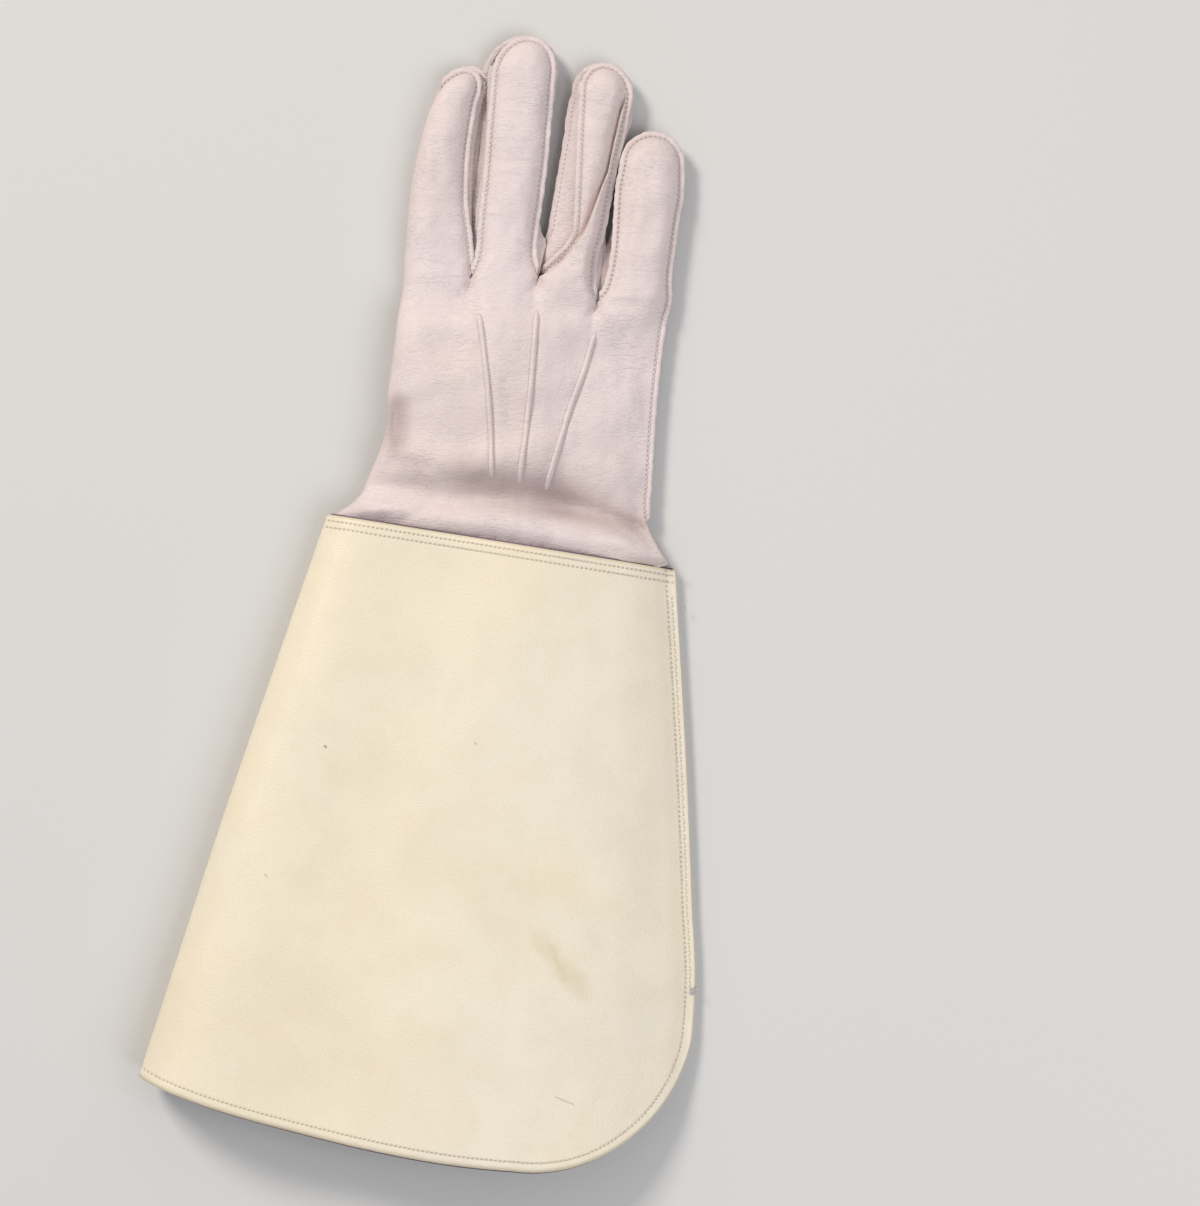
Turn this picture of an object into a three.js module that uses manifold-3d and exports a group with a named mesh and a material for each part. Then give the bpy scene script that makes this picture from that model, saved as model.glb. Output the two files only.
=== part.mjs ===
// A soft leather dress gauntlet for the right hand, lying palm down.
// Millimetres, +X towards the little finger, +Y towards the fingertips, +Z up off the table.
// Every wall is a closed loft less a smaller loft; a loft is a row of rings, each laid out by shares.
import * as THREE from 'three';
import Module from 'manifold-3d';

const wasm = await Module();
wasm.setup();
const { lerp, smoothstep, clamp, degToRad } = THREE.MathUtils;

// Driving sizes of the hand
const HAND_WIDTH = 103;
const PALM_LENGTH = 102;
const PALM_THICKNESS = 13;
const HAND_WALL = 1;
const FINGER_HEIGHT = 15;
const FINGER_REACH = 104;

// Driving sizes of the thumb
const THUMB_LENGTH = 66;
const THUMB_WIDTH = 27;
const THUMB_HEIGHT = 7.6;
const THUMB_HOLE = 24;

// Driving sizes of the raised seams
const POINT_WIDTH = 1.8;
const POINT_RISE = 1.1;
const SEAM_RIM = 2.6;
const SEAM_RIM_THICKNESS = 2;

// Driving sizes of the cuff
const CUFF_LENGTH = 237;
const CUFF_TOP_WIDTH = 136;
const CUFF_HEM_WIDTH = 214;
const CUFF_TOP_HEIGHT = 23;
const CUFF_HEM_HEIGHT = 34;
const CUFF_TILT = 9.1;
const CUFF_WALL = 1.2;
const CUFF_SEAM = 5;
const CUFF_EDGE = 4.4;
const LINING_WALL = 0.8;
const LINING_SHOWS = 0.6;
const HEM_SAG = 13;
const HEM_LOWEST = 11;
const CORNER_RADIUS = 60;
const VENT_LENGTH = 77.5;
const VENT_RISE = 5;
const TUCK = 14;

// Clearance between pieces that lie against each other
const GAP = 0.3;

// Points of a ring, and how squarely its oval is filled out: swell times the sine to a power
const RING_POINTS = 26;
const FINGER_POINTS = 16;
const RING_SWELL = 1.15;
const RING_POWER = 0.62;

// Palm rows: along is a share of PALM_LENGTH above the cuff, left and right are shares of HAND_WIDTH
// at each edge, tilt is the right edge's drop below the left one as a share of PALM_LENGTH,
// and full is a share of PALM_THICKNESS.
const PALM_ROWS = [
  { along: 0.065, left: -0.565, right: 0.575, tilt: 0.115, full: 1.12 },
  { along: 0.150, left: -0.520, right: 0.560, tilt: 0.080, full: 0.95 },
  { along: 0.225, left: -0.497, right: 0.562, tilt: 0.035, full: 0.92 },
  { along: 0.343, left: -0.459, right: 0.566, tilt: 0, full: 1.00 },
  { along: 0.430, left: -0.431, right: 0.571, tilt: 0, full: 1.03 },
  { along: 0.562, left: -0.423, right: 0.581, tilt: 0, full: 1.05 },
  { along: 0.766, left: -0.396, right: 0.607, tilt: 0, full: 1.02 },
  { along: 0.913, left: -0.374, right: 0.629, tilt: 0, full: 1.06 },
  { along: 0.975, left: -0.368, right: 0.630, tilt: 0.05, full: 1.02 },
  { along: 1.002, left: -0.366, right: 0.629, tilt: 0.06, full: 0.92 },
];

// Fingers: base and tip are the middle line's ends as shares of HAND_WIDTH across, root is the base's
// share of PALM_LENGTH along, reach a share of FINGER_REACH and bend the middle line's sideways bow.
// Widths are shares of HAND_WIDTH at the stations of FINGER_STATIONS, height a share of FINGER_HEIGHT.
const FINGERS = {
  index: { base: -0.243, root: 0.97, tip: -0.110, reach: 0.776, bend: -0.036, height: 0.96,
    widths: [0.248, 0.233, 0.228, 0.216] },
  middle: { base: 0.013, root: 0.97, tip: 0.118, reach: 0.898, bend: -0.022, height: 1.00,
    widths: [0.246, 0.250, 0.240, 0.250] },
  ring: { base: 0.248, root: 0.96, tip: 0.373, reach: 0.794, bend: 0.011, height: 1.05,
    widths: [0.218, 0.214, 0.232, 0.222] },
  little: { base: 0.488, root: 0.91, tip: 0.560, reach: 0.539, bend: 0.018, height: 0.94,
    widths: [0.255, 0.240, 0.236, 0.214] },
};
const FINGER_STATIONS = [0, 0.36, 0.7, 0.9];

// Rings of a finger up to its cap, as shares of its length, and in the cap, in degrees round it;
// the cap's length is a share of the tip's width
const STEM_RINGS = [0, 0.12, 0.26, 0.42, 0.58];
const CAP_RINGS = [0, 32, 58, 82];
const CAP_LENGTH = 0.45;

// A finger is a little thinner up to the end of its root, and thins again from the start of its tip
const FINGER_FORM = { root: 0.96, rootEnd: 0.2, tipStart: 0.78, tip: 0.5 };

// Where the palm's form changes: the thumb lifts it over a stretch along it and on one side across
// it, the lining lifts it near the cuff, and its back falls off to both edges as a power
const PALM_FORM = {
  liftStart: [0.02, 0.25],
  liftEnd: [0.76, 0.94],
  liftAcross: [0.38, 0.72],
  tuckEnd: [0.05, 0.3],
  crownFall: 0.35,
  crownPower: 4,
  liftKept: 0.9,
};

// Fourchettes: the band between the back and palm seams on each facing side, as shares of the
// finger's height; low and high at the root, taking in less towards the tip.
const FOURCHETTES = [
  { name: 'fourchette_index_middle', pair: ['index', 'middle'], low: 0.22, high: [0.74, 0.70] },
  { name: 'fourchette_middle_ring', pair: ['middle', 'ring'], low: 0.22, high: [0.68, 0.84] },
  { name: 'fourchette_ring_little', pair: ['ring', 'little'], low: 0.22, high: [0.66, 0.78] },
];
const FOURCHETTE_END = 0.955;
const FOURCHETTE_RINGS = [-0.02, 0.05, 0.2, 0.4, 0.6, 0.78, 0.88];
const FOURCHETTE_TIP = { low: 0.36, high: 0.58, start: 0.45, widest: 0.8 };

// Outer seam's stations up the little finger
const RIM_STATIONS = [0.02, 0.2, 0.4, 0.6, 0.76, 0.86, 0.93];

// Thumb under the palm: its root and tip across and the root's height up the palm, as shares of
// HAND_WIDTH and PALM_LENGTH, and the middle of its hole as a share of THUMB_LENGTH. Its two ends are
// thinner by a share of its height, and the hole's width is a share of its length THUMB_HOLE.
const THUMB_PLACE = { root: -0.262, tip: -0.225, up: 0.19, hole: 0.26 };
const THUMB_RINGS = [0.03, 0.1, 0.22, 0.4, 0.6, 0.78, 0.9, 0.97];
const THUMB_END_THINNING = 0.35;
const THUMB_HOLE_WIDTH = 0.76;

// Points on the back: top and foot of each tuck, as shares of HAND_WIDTH and PALM_LENGTH
const BACK_POINTS = [
  { top: [-0.080, 0.856], foot: [-0.034, 0.250] },
  { top: [0.134, 0.868], foot: [0.068, 0.232] },
  { top: [0.347, 0.790], foot: [0.170, 0.206] },
];

// Cuff's upper face from the fold to the seam: across is a share of the width, high of the height
const CUFF_CREST = [
  { across: 0.00, high: 0.72 },
  { across: 0.14, high: 0.96 },
  { across: 0.34, high: 0.84 },
  { across: 0.58, high: 1.00 },
  { across: 0.82, high: 0.62 },
  { across: 1.00, high: 0.00 },
];

// Rings of the cuff as shares of its length, around the one where the vent starts
const CUFF_RINGS = { above: [0, 0.04, 0.15, 0.3, 0.45, 0.58], below: [0.78, 0.9, 1.02] };
const VENT_RINGS = [0, 1 / 3, 2 / 3, 1.3];

// Points of the hem's arc, as shares of half the hem's width
const HEM_SHARES = [-1.3, -1, -0.75, -0.5, -0.25, 0, 0.2];

// Cuff's edges from the top edge to past the hem, as shares of the flare on each side
const CUFF_FLARE = [
  { along: 0.00, fold: 0.00, seam: 0.00 },
  { along: 0.30, fold: 0.32, seam: 0.40 },
  { along: 0.52, fold: 0.55, seam: 0.67 },
  { along: 0.70, fold: 0.72, seam: 0.87 },
  { along: 1.00, fold: 1.00, seam: 0.96 },
  { along: 1.06, fold: 1.06, seam: 0.98 },
];

// Value of a table's column on a smooth curve through its rows, at a share along another column
function along(table, key, value, share) {
  const slope = (row) => {
    const before = table[Math.max(row - 1, 0)];
    const after = table[Math.min(row + 1, table.length - 1)];
    return (after[value] - before[value]) / (after[key] - before[key]);
  };
  let row = 0;
  while (row < table.length - 2 && share > table[row + 1][key]) {
    row += 1;
  }
  const span = table[row + 1][key] - table[row][key];
  const part = clamp((share - table[row][key]) / span, 0, 1);
  const rise = table[row + 1][value] - table[row][value];
  const ease = part * part * (3 - 2 * part);
  const start = part * (1 - part) * (1 - part) * span * slope(row);
  const end = part * part * (part - 1) * span * slope(row + 1);
  return table[row][value] + rise * ease + start + end;
}

// One ring between a left and a right point: a flattened oval whose upper and lower faces follow
// two height functions of the share across. Its faces are flat where the oval is past their height.
function ring({ left, right, top, bottom, inset = 0, insetRight = inset, count = RING_POINTS }) {
  const across = new THREE.Vector2().subVectors(right, left);
  const width = across.length();
  const points = [];
  for (let step = 0; step < count; step += 1) {
    const angle = (2 * Math.PI * step) / count;
    const share = (1 - Math.cos(angle)) / 2;
    const place = lerp(inset, width - insetRight, share) / width;
    const middle = (top(place) + bottom(place)) / 2;
    const half = Math.max((top(place) - bottom(place)) / 2 - inset, HAND_WALL / 4);
    const full = Math.min(1, RING_SWELL * Math.abs(Math.sin(angle)) ** RING_POWER);
    const spot = left.clone().addScaledVector(across, place);
    const turn = step % (count / 2) === 0 ? 0 : Math.sign(Math.sin(angle));
    points.push(new THREE.Vector3(spot.x, spot.y, middle + half * full * turn));
  }
  return points;
}

// Closed solid through a row of rings that have the same number of points
function loft(rings) {
  const count = rings[0].length;
  const points = rings.flat();
  const triangles = [];
  for (let row = 0; row < rings.length - 1; row += 1) {
    for (let step = 0; step < count; step += 1) {
      const here = row * count + step;
      const next = row * count + ((step + 1) % count);
      triangles.push(here, next, here + count, next, next + count, here + count);
    }
  }
  const last = (rings.length - 1) * count;
  for (let step = 1; step < count - 1; step += 1) {
    triangles.push(0, step + 1, step);
    triangles.push(last, last + step, last + step + 1);
  }
  return solid(points, triangles);
}

// Manifold solid from points and triangles, turned the right way out
function solid(points, triangles) {
  let volume = 0;
  for (let index = 0; index < triangles.length; index += 3) {
    const [a, b, c] = triangles.slice(index, index + 3).map((corner) => points[corner]);
    volume += a.dot(new THREE.Vector3().crossVectors(b, c));
  }
  const faces = volume > 0 ? triangles : triangles.slice().reverse();
  const numbers = new Float32Array(points.flatMap((point) => [point.x, point.y, point.z]));
  return new wasm.Manifold(
    new wasm.Mesh({ numProp: 3, vertProperties: numbers, triVerts: new Uint32Array(faces) }),
  );
}

// Upright prism over a plan outline
function prism(plan, low, high) {
  const outline = THREE.ShapeUtils.isClockWise(plan) ? plan.slice().reverse() : plan;
  const count = outline.length;
  const level = (height) => outline.map((point) => new THREE.Vector3(point.x, point.y, height));
  const triangles = [];
  for (const [a, b, c] of THREE.ShapeUtils.triangulateShape(outline, [])) {
    triangles.push(a, c, b, a + count, b + count, c + count);
  }
  for (let step = 0; step < count; step += 1) {
    const next = (step + 1) % count;
    triangles.push(step, next, next + count, step, next + count, step + count);
  }
  return solid([...level(low), ...level(high)], triangles);
}

const joined = (solids) => solids.reduce((sum, next) => sum.add(next));

// Cuff: its own frame has v across from the middle line and u down from the top edge
const tilt = degToRad(CUFF_TILT);
const cuffSpot = (v, u) => new THREE.Vector2(
  v * Math.cos(tilt) - u * Math.sin(tilt),
  -v * Math.sin(tilt) - u * Math.cos(tilt),
);
const flare = (CUFF_HEM_WIDTH - CUFF_TOP_WIDTH) / 2;
const cuffEdge = (side, u) =>
  CUFF_TOP_WIDTH / 2 + flare * along(CUFF_FLARE, 'along', side, Math.max(u, 0) / CUFF_LENGTH);
const ventTop = CUFF_LENGTH - VENT_LENGTH;

// Height of the seamed edge, which lifts where the vent parts below the bar tack
const edgeHeight = (u) => CUFF_EDGE + VENT_RISE * smoothstep(u, ventTop, CUFF_LENGTH);

// Ring of the cuff at u down the cuff, at a depth inside its outer face
function cuffRing(u, inset, insetRight = inset) {
  const height = lerp(CUFF_TOP_HEIGHT, CUFF_HEM_HEIGHT, clamp(u / CUFF_LENGTH, 0, 1));
  const edge = edgeHeight(u);
  const top = (place) => edge + (height - edge) * along(CUFF_CREST, 'across', 'high', place);
  return ring({
    left: cuffSpot(-cuffEdge('fold', u), u),
    right: cuffSpot(cuffEdge('seam', u), u),
    top,
    bottom: () => 0,
    inset,
    insetRight,
  });
}

// Everything past the hem's arc and its rounded corner, which lies `extra` further out for the lining
function pastHem(extra) {
  const reach = CUFF_HEM_WIDTH / 2 + HEM_LOWEST;
  const hem = (v) => CUFF_LENGTH - HEM_SAG * ((v - HEM_LOWEST) / reach) ** 2 + extra;
  const edge = cuffEdge('seam', CUFF_LENGTH - CORNER_RADIUS) + extra;
  const radius = CORNER_RADIUS + extra;
  const middle = new THREE.Vector2(edge - radius, hem(edge - radius) - radius);
  const curve = HEM_SHARES.map((share) => {
    const v = (share * CUFF_HEM_WIDTH) / 2;
    return cuffSpot(v, hem(v));
  });
  for (let degrees = 90; degrees >= 0; degrees -= 10) {
    const angle = degToRad(degrees);
    curve.push(cuffSpot(middle.x + radius * Math.cos(angle), middle.y + radius * Math.sin(angle)));
  }
  curve.push(cuffSpot(edge + radius, middle.y));
  curve.push(cuffSpot(edge + radius, 2 * CUFF_LENGTH));
  curve.push(cuffSpot(-CUFF_HEM_WIDTH, 2 * CUFF_LENGTH));
  curve.push(cuffSpot(-CUFF_HEM_WIDTH, hem((HEM_SHARES[0] * CUFF_HEM_WIDTH) / 2)));
  return prism(curve, -1, 2 * CUFF_HEM_HEIGHT);
}

// Shell of the cuff between two depths, cut by the hem and parted along the vent
function cuffShell(depth, wall, extra) {
  const stations = [...CUFF_RINGS.above, ventTop / CUFF_LENGTH, ...CUFF_RINGS.below];
  const margin = depth > 0 ? CUFF_SEAM + depth : 0;
  const innerMargin = depth > 0 ? margin + wall : CUFF_SEAM;
  const rise = depth > 0 ? extra : 0;
  const outer = stations.map((share, row) =>
    cuffRing(share * CUFF_LENGTH - (row === 0 ? rise : 0), depth, margin));
  const inner = stations.map((share, row) => {
    const past = row === 0 ? -1 - rise : (row === stations.length - 1 ? 1 : 0);
    return cuffRing(share * CUFF_LENGTH + past, depth + wall, innerMargin);
  });
  return loft(outer).subtract(loft(inner)).subtract(pastHem(extra)).subtract(vent());
}

// Space between the two layers of the seamed edge, from the bar tack down past the hem
function vent() {
  const rings = VENT_RINGS.map((share) => {
    const u = ventTop + share * VENT_LENGTH;
    const reach = CUFF_SEAM + LINING_WALL + CUFF_WALL + 4 * GAP;
    const low = CUFF_WALL + GAP / 2;
    const high = edgeHeight(u) - CUFF_WALL + GAP / 2;
    const near = cuffSpot(cuffEdge('seam', u) - reach, u);
    const far = cuffSpot(cuffEdge('seam', u) + CUFF_SEAM, u);
    return [
      new THREE.Vector3(near.x, near.y, low),
      new THREE.Vector3(far.x, far.y, low),
      new THREE.Vector3(far.x, far.y, high),
      new THREE.Vector3(near.x, near.y, high),
    ];
  });
  return loft(rings);
}

// Palm
const liningDepth = CUFF_WALL + GAP;
const tuckDepth = liningDepth + LINING_WALL + GAP;
const thumbLift = THUMB_HEIGHT + GAP;

// Ring of the palm for one row of its table, at a depth inside its outer face
function palmRing(row, inset, shorter) {
  const drop = (row.tilt * PALM_LENGTH) / 2;
  const y = row.along * PALM_LENGTH - shorter;
  const { liftStart, liftEnd, liftAcross, tuckEnd, crownFall, crownPower, liftKept } = PALM_FORM;
  const raised = smoothstep(row.along, ...liftStart) * (1 - smoothstep(row.along, ...liftEnd));
  const least = tuckDepth * (1 - smoothstep(row.along, ...tuckEnd));
  const thick = row.full * PALM_THICKNESS;
  const bottom = (place) => least + thumbLift * raised * (1 - smoothstep(place, ...liftAcross));
  const crown = (place) => 1 - crownFall * (2 * place - 1) ** crownPower;
  return ring({
    left: new THREE.Vector2(row.left * HAND_WIDTH, y + drop),
    right: new THREE.Vector2(row.right * HAND_WIDTH, y - drop),
    top: (place) => bottom(place) * liftKept + thick * crown(place),
    bottom,
    inset,
    insetRight: inset + SEAM_RIM,
  });
}

// Palm solid: its lower end lies inside the cuff, against the lining
function palmSolid(inset) {
  const past = inset > 0 ? 1 : 0;
  const seam = CUFF_SEAM + tuckDepth;
  const rings = [TUCK + past, TUCK / 2, 0].map((u) => cuffRing(u, tuckDepth + inset, seam + inset));
  const last = PALM_ROWS.length - 1;
  PALM_ROWS.forEach((row, index) => rings.push(palmRing(row, inset, index === last ? inset : 0)));
  return loft(rings);
}

// Middle line of a finger from its root to the end of its tip, at a share of its length
function fingerSpot(finger, share) {
  const root = new THREE.Vector2(finger.base * HAND_WIDTH, finger.root * PALM_LENGTH);
  const tip = new THREE.Vector2(finger.tip * HAND_WIDTH, PALM_LENGTH + finger.reach * FINGER_REACH);
  const spot = root.lerp(tip, share);
  spot.x += 4 * share * (1 - share) * finger.bend * HAND_WIDTH;
  return spot;
}

const fingerLength = (finger) => fingerSpot(finger, 1).distanceTo(fingerSpot(finger, 0));
const capStart = (finger) =>
  1 - (finger.widths.at(-1) * HAND_WIDTH * CAP_LENGTH) / fingerLength(finger);

// Half width of a finger at a share of its length, rounded off towards the tip
function fingerHalf(finger, share) {
  const table = FINGER_STATIONS.map((station, row) => ({ station, width: finger.widths[row] }));
  const half = (along(table, 'station', 'width', share) * HAND_WIDTH) / 2;
  const start = capStart(finger);
  const past = Math.max(0, (share - start) / (1 - start));
  return half * Math.sqrt(Math.max(0, 1 - past * past));
}

// Height of a finger: full over its length, thinner at the root and at the tip
function fingerHeight(finger, share) {
  const full = finger.height * FINGER_HEIGHT;
  const { root, rootEnd, tipStart, tip } = FINGER_FORM;
  const start = lerp(root, 1, smoothstep(share, 0, rootEnd));
  return full * start * (1 - tip * smoothstep(share, tipStart, 1));
}

// Direction across a finger, towards the little finger
function fingerAcross(finger, share) {
  const step = 0.01;
  const ahead = fingerSpot(finger, share + step).sub(fingerSpot(finger, share - step)).normalize();
  return new THREE.Vector2(ahead.y, -ahead.x);
}

// Finger solid at a depth inside its outer face
function fingerSolid(finger, inset) {
  const start = capStart(finger);
  const end = 1 - inset / fingerLength(finger);
  const stem = STEM_RINGS.map((share) => ({ share, outerShare: share }));
  const cap = CAP_RINGS.map((degrees) => {
    const part = Math.sin(degToRad(degrees));
    return { share: lerp(start, end, part), outerShare: lerp(start, 1, part) };
  });
  const rings = [...stem, ...cap].map(({ share, outerShare }) => {
    const middle = fingerSpot(finger, share);
    const across = fingerAcross(finger, share);
    const whole = fingerHalf(finger, outerShare);
    const half = Math.max(whole - inset, HAND_WALL / 4);
    const height = fingerHeight(finger, share);
    return ring({
      left: middle.clone().addScaledVector(across, -half),
      right: middle.clone().addScaledVector(across, half),
      top: () => height - inset,
      bottom: () => inset,
      count: FINGER_POINTS,
    });
  });
  return loft(rings);
}

// Band of one finger's side wall that its fourchette takes, on the side 1 towards the little finger
// or -1 towards the index finger; spare widens the band to leave the clearance
function band(finger, side, low, high, spare) {
  const past = spare / fingerLength(finger);
  const shares = [...FOURCHETTE_RINGS, FOURCHETTE_END + past];
  shares[0] -= past;
  const rings = shares.map((place) => {
    const height = fingerHeight(finger, place);
    const close = smoothstep(place, FOURCHETTE_TIP.start, 1);
    const middle = fingerSpot(finger, place);
    const across = fingerAcross(finger, place);
    const near = middle.clone().addScaledVector(across, -side * spare);
    const reach = fingerHalf(finger, clamp(place, 0, FOURCHETTE_TIP.widest)) + 2 * GAP;
    const far = middle.addScaledVector(across, side * reach);
    const below = lerp(low, FOURCHETTE_TIP.low, close) * height - spare;
    const above = lerp(high, FOURCHETTE_TIP.high, close) * height + spare;
    return [
      new THREE.Vector3(near.x, near.y, below),
      new THREE.Vector3(far.x, far.y, below),
      new THREE.Vector3(far.x, far.y, above),
      new THREE.Vector3(near.x, near.y, above),
    ];
  });
  return loft(rings);
}

// Both bands of one fourchette, down one finger and up the next
function fourchetteBand({ pair, low, high }, spare) {
  const [first, second] = pair.map((name) => FINGERS[name]);
  return band(first, 1, low, high[0], spare).add(band(second, -1, low, high[1], spare));
}

// Rim of the outer seam, a thin strip between inner and outer points at a height
function strip(points) {
  return loft(points.map(({ near, far, z }) => [
    new THREE.Vector3(near.x, near.y, z - SEAM_RIM_THICKNESS / 2),
    new THREE.Vector3(far.x, far.y, z - SEAM_RIM_THICKNESS / 2),
    new THREE.Vector3(far.x, far.y, z + SEAM_RIM_THICKNESS / 2),
    new THREE.Vector3(near.x, near.y, z + SEAM_RIM_THICKNESS / 2),
  ]));
}

// Outer seam: down the little finger's side and the edge of the palm to its loose end above the cuff
function outerRim() {
  const rows = PALM_ROWS.slice(1);
  const palm = rows.map((row) => {
    const edge = palmRing(row, 0, 0)[RING_POINTS / 2];
    const far = new THREE.Vector2(row.right * HAND_WIDTH, edge.y);
    return { near: new THREE.Vector2(edge.x - HAND_WALL, edge.y), far, z: edge.z };
  });
  const { little } = FINGERS;
  const finger = RIM_STATIONS.map((share) => {
    const middle = fingerSpot(little, share);
    const across = fingerAcross(little, share);
    const half = fingerHalf(little, share);
    return {
      near: middle.clone().addScaledVector(across, half - HAND_WALL),
      far: middle.clone().addScaledVector(across, half + SEAM_RIM * (1 - 0.5 * share)),
      z: fingerHeight(little, share) / 2,
    };
  });
  return strip(palm).add(strip(finger));
}

// Raised point on the back: a narrow tuck with a tapered end at its top and foot
function backPoint({ top, foot }, outer, inner) {
  const place = ([x, y]) => new THREE.Vector2(x * HAND_WIDTH, y * PALM_LENGTH);
  const from = place(foot);
  const to = place(top);
  const ahead = to.clone().sub(from).normalize();
  const side = new THREE.Vector2(ahead.y, -ahead.x).multiplyScalar(POINT_WIDTH / 2);
  const taper = ahead.clone().multiplyScalar(2 * POINT_WIDTH);
  const outline = [
    from.clone(),
    from.clone().add(taper).add(side),
    to.clone().sub(taper).add(side),
    to.clone(),
    to.clone().sub(taper).sub(side),
    from.clone().add(taper).sub(side),
  ];
  const column = prism(outline, thumbLift / 2, 4 * PALM_THICKNESS);
  return column.intersect(outer.translate(0, 0, POINT_RISE)).subtract(inner);
}

// Middle line of the thumb, a flat pouch under the palm
function thumbSpot(share) {
  return new THREE.Vector2(
    lerp(THUMB_PLACE.root, THUMB_PLACE.tip, share) * HAND_WIDTH,
    THUMB_PLACE.up * PALM_LENGTH + share * THUMB_LENGTH,
  );
}

function thumbSolid(inset, palmOuter) {
  const rings = THUMB_RINGS.map((share) => {
    const near = Math.abs(2 * share - 1);
    const half = (THUMB_WIDTH / 2) * Math.sqrt(1 - near ** 4) - inset;
    const height = THUMB_HEIGHT * (1 - THUMB_END_THINNING * near ** 6);
    const middle = thumbSpot(lerp(inset / THUMB_LENGTH, 1 - inset / THUMB_LENGTH, share));
    return ring({
      left: new THREE.Vector2(middle.x - half, middle.y),
      right: new THREE.Vector2(middle.x + half, middle.y),
      top: () => height - inset,
      bottom: () => inset,
      count: FINGER_POINTS,
    });
  });
  return loft(rings).subtract(palmOuter.translate(0, 0, -GAP - inset));
}

// Oval hole where the thumb opens into the palm
function thumbHole() {
  const middle = thumbSpot(THUMB_PLACE.hole);
  const outline = [];
  for (let step = 0; step < FINGER_POINTS; step += 1) {
    const angle = (2 * Math.PI * step) / FINGER_POINTS;
    outline.push(new THREE.Vector2(
      middle.x + (THUMB_HOLE_WIDTH * THUMB_HOLE * Math.cos(angle)) / 2,
      middle.y + (THUMB_HOLE * Math.sin(angle)) / 2,
    ));
  }
  return prism(outline, THUMB_HEIGHT / 2, thumbLift + PALM_THICKNESS / 2);
}

// The hand's shell, with its seam rim and back points, before it is parted into pieces
const names = Object.keys(FINGERS);
const palmOuter = palmSolid(0);
const palmInner = palmSolid(HAND_WALL);
const handOuter = joined([palmOuter, ...names.map((name) => fingerSolid(FINGERS[name], 0)), outerRim()]);
const handInner = joined([palmInner, ...names.map((name) => fingerSolid(FINGERS[name], HAND_WALL))]);
const tucks = BACK_POINTS.map((point) => backPoint(point, palmOuter, handInner));
const shell = joined([handOuter.subtract(handInner), ...tucks]).subtract(thumbHole());

const wholePalm = FOURCHETTES.reduce((rest, piece) => rest.subtract(fourchetteBand(piece, GAP)), shell);
const thumb = thumbSolid(0, palmOuter).subtract(thumbSolid(HAND_WALL, palmOuter)).subtract(thumbHole());

// Leather finishes
const glove = { color: 0xd9d0d6, roughness: 0.62, metalness: 0 };
const gusset = { color: 0xd3c9d0, roughness: 0.66, metalness: 0 };
const gauntlet = { color: 0xe6dec6, roughness: 0.5, metalness: 0 };
const lining = { color: 0xb9aebb, roughness: 0.75, metalness: 0 };

// Named mesh from a solid
function mesh(name, body, finish) {
  const { vertProperties, triVerts } = body.getMesh();
  const geometry = new THREE.BufferGeometry();
  geometry.setAttribute('position', new THREE.BufferAttribute(vertProperties, 3));
  geometry.setIndex(new THREE.BufferAttribute(triVerts, 1));
  geometry.computeVertexNormals();
  const piece = new THREE.Mesh(geometry, new THREE.MeshStandardMaterial(finish));
  piece.name = name;
  return piece;
}

const gauntletGlove = new THREE.Group();
gauntletGlove.add(mesh('hand', wholePalm, glove));
for (const piece of FOURCHETTES) {
  gauntletGlove.add(mesh(piece.name, shell.intersect(fourchetteBand(piece, 0)), gusset));
}
gauntletGlove.add(mesh('thumb', thumb, glove));
gauntletGlove.add(mesh('cuff_outer', cuffShell(0, CUFF_WALL, 0), gauntlet));
gauntletGlove.add(mesh('cuff_lining', cuffShell(liningDepth, LINING_WALL, LINING_SHOWS), lining));

// The origin is under the middle of the whole glove, on the surface that it lies on
const box = new THREE.Box3().setFromObject(gauntletGlove);
const middle = box.getCenter(new THREE.Vector3());
gauntletGlove.position.set(-middle.x, -middle.y, -box.min.z);

export default gauntletGlove;
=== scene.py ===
# %% [markdown]
# A soft leather dress gauntlet lies palm down on a pale surface.
# The glove is cut from flat leather, so nearly every piece here is a sheet: a grid of points
# worked out with numpy, turned into a mesh and given its thickness by a Solidify modifier.
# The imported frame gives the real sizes, and every new piece lies where its plain solid lies.

import bmesh
import bpy
import numpy as np
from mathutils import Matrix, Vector
from mathutils.bvhtree import BVHTree


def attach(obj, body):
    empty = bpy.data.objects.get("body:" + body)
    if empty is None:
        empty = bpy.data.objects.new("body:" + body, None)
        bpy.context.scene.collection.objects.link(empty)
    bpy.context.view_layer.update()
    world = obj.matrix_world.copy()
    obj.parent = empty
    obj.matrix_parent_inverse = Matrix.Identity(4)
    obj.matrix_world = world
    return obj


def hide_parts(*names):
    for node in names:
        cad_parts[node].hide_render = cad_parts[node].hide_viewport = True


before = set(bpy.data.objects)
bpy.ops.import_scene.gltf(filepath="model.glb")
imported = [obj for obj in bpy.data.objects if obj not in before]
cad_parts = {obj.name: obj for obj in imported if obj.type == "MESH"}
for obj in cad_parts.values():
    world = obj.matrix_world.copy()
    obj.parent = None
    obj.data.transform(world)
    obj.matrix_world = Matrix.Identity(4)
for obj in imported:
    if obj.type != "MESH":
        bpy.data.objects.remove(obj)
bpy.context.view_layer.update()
print("frame nodes", sorted(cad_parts))

# %% [markdown]
# The maker's own coordinates are millimetres, counted from the middle of the cuff's top edge:
# x runs towards the little finger and y towards the fingertips.
# One function turns them into the frame's metres, so tables can stay in the maker's numbers,
# and another puts a new object into the scene.
# Outlines were measured in the photograph in pixels, 2.6 of them to a millimetre.

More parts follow.
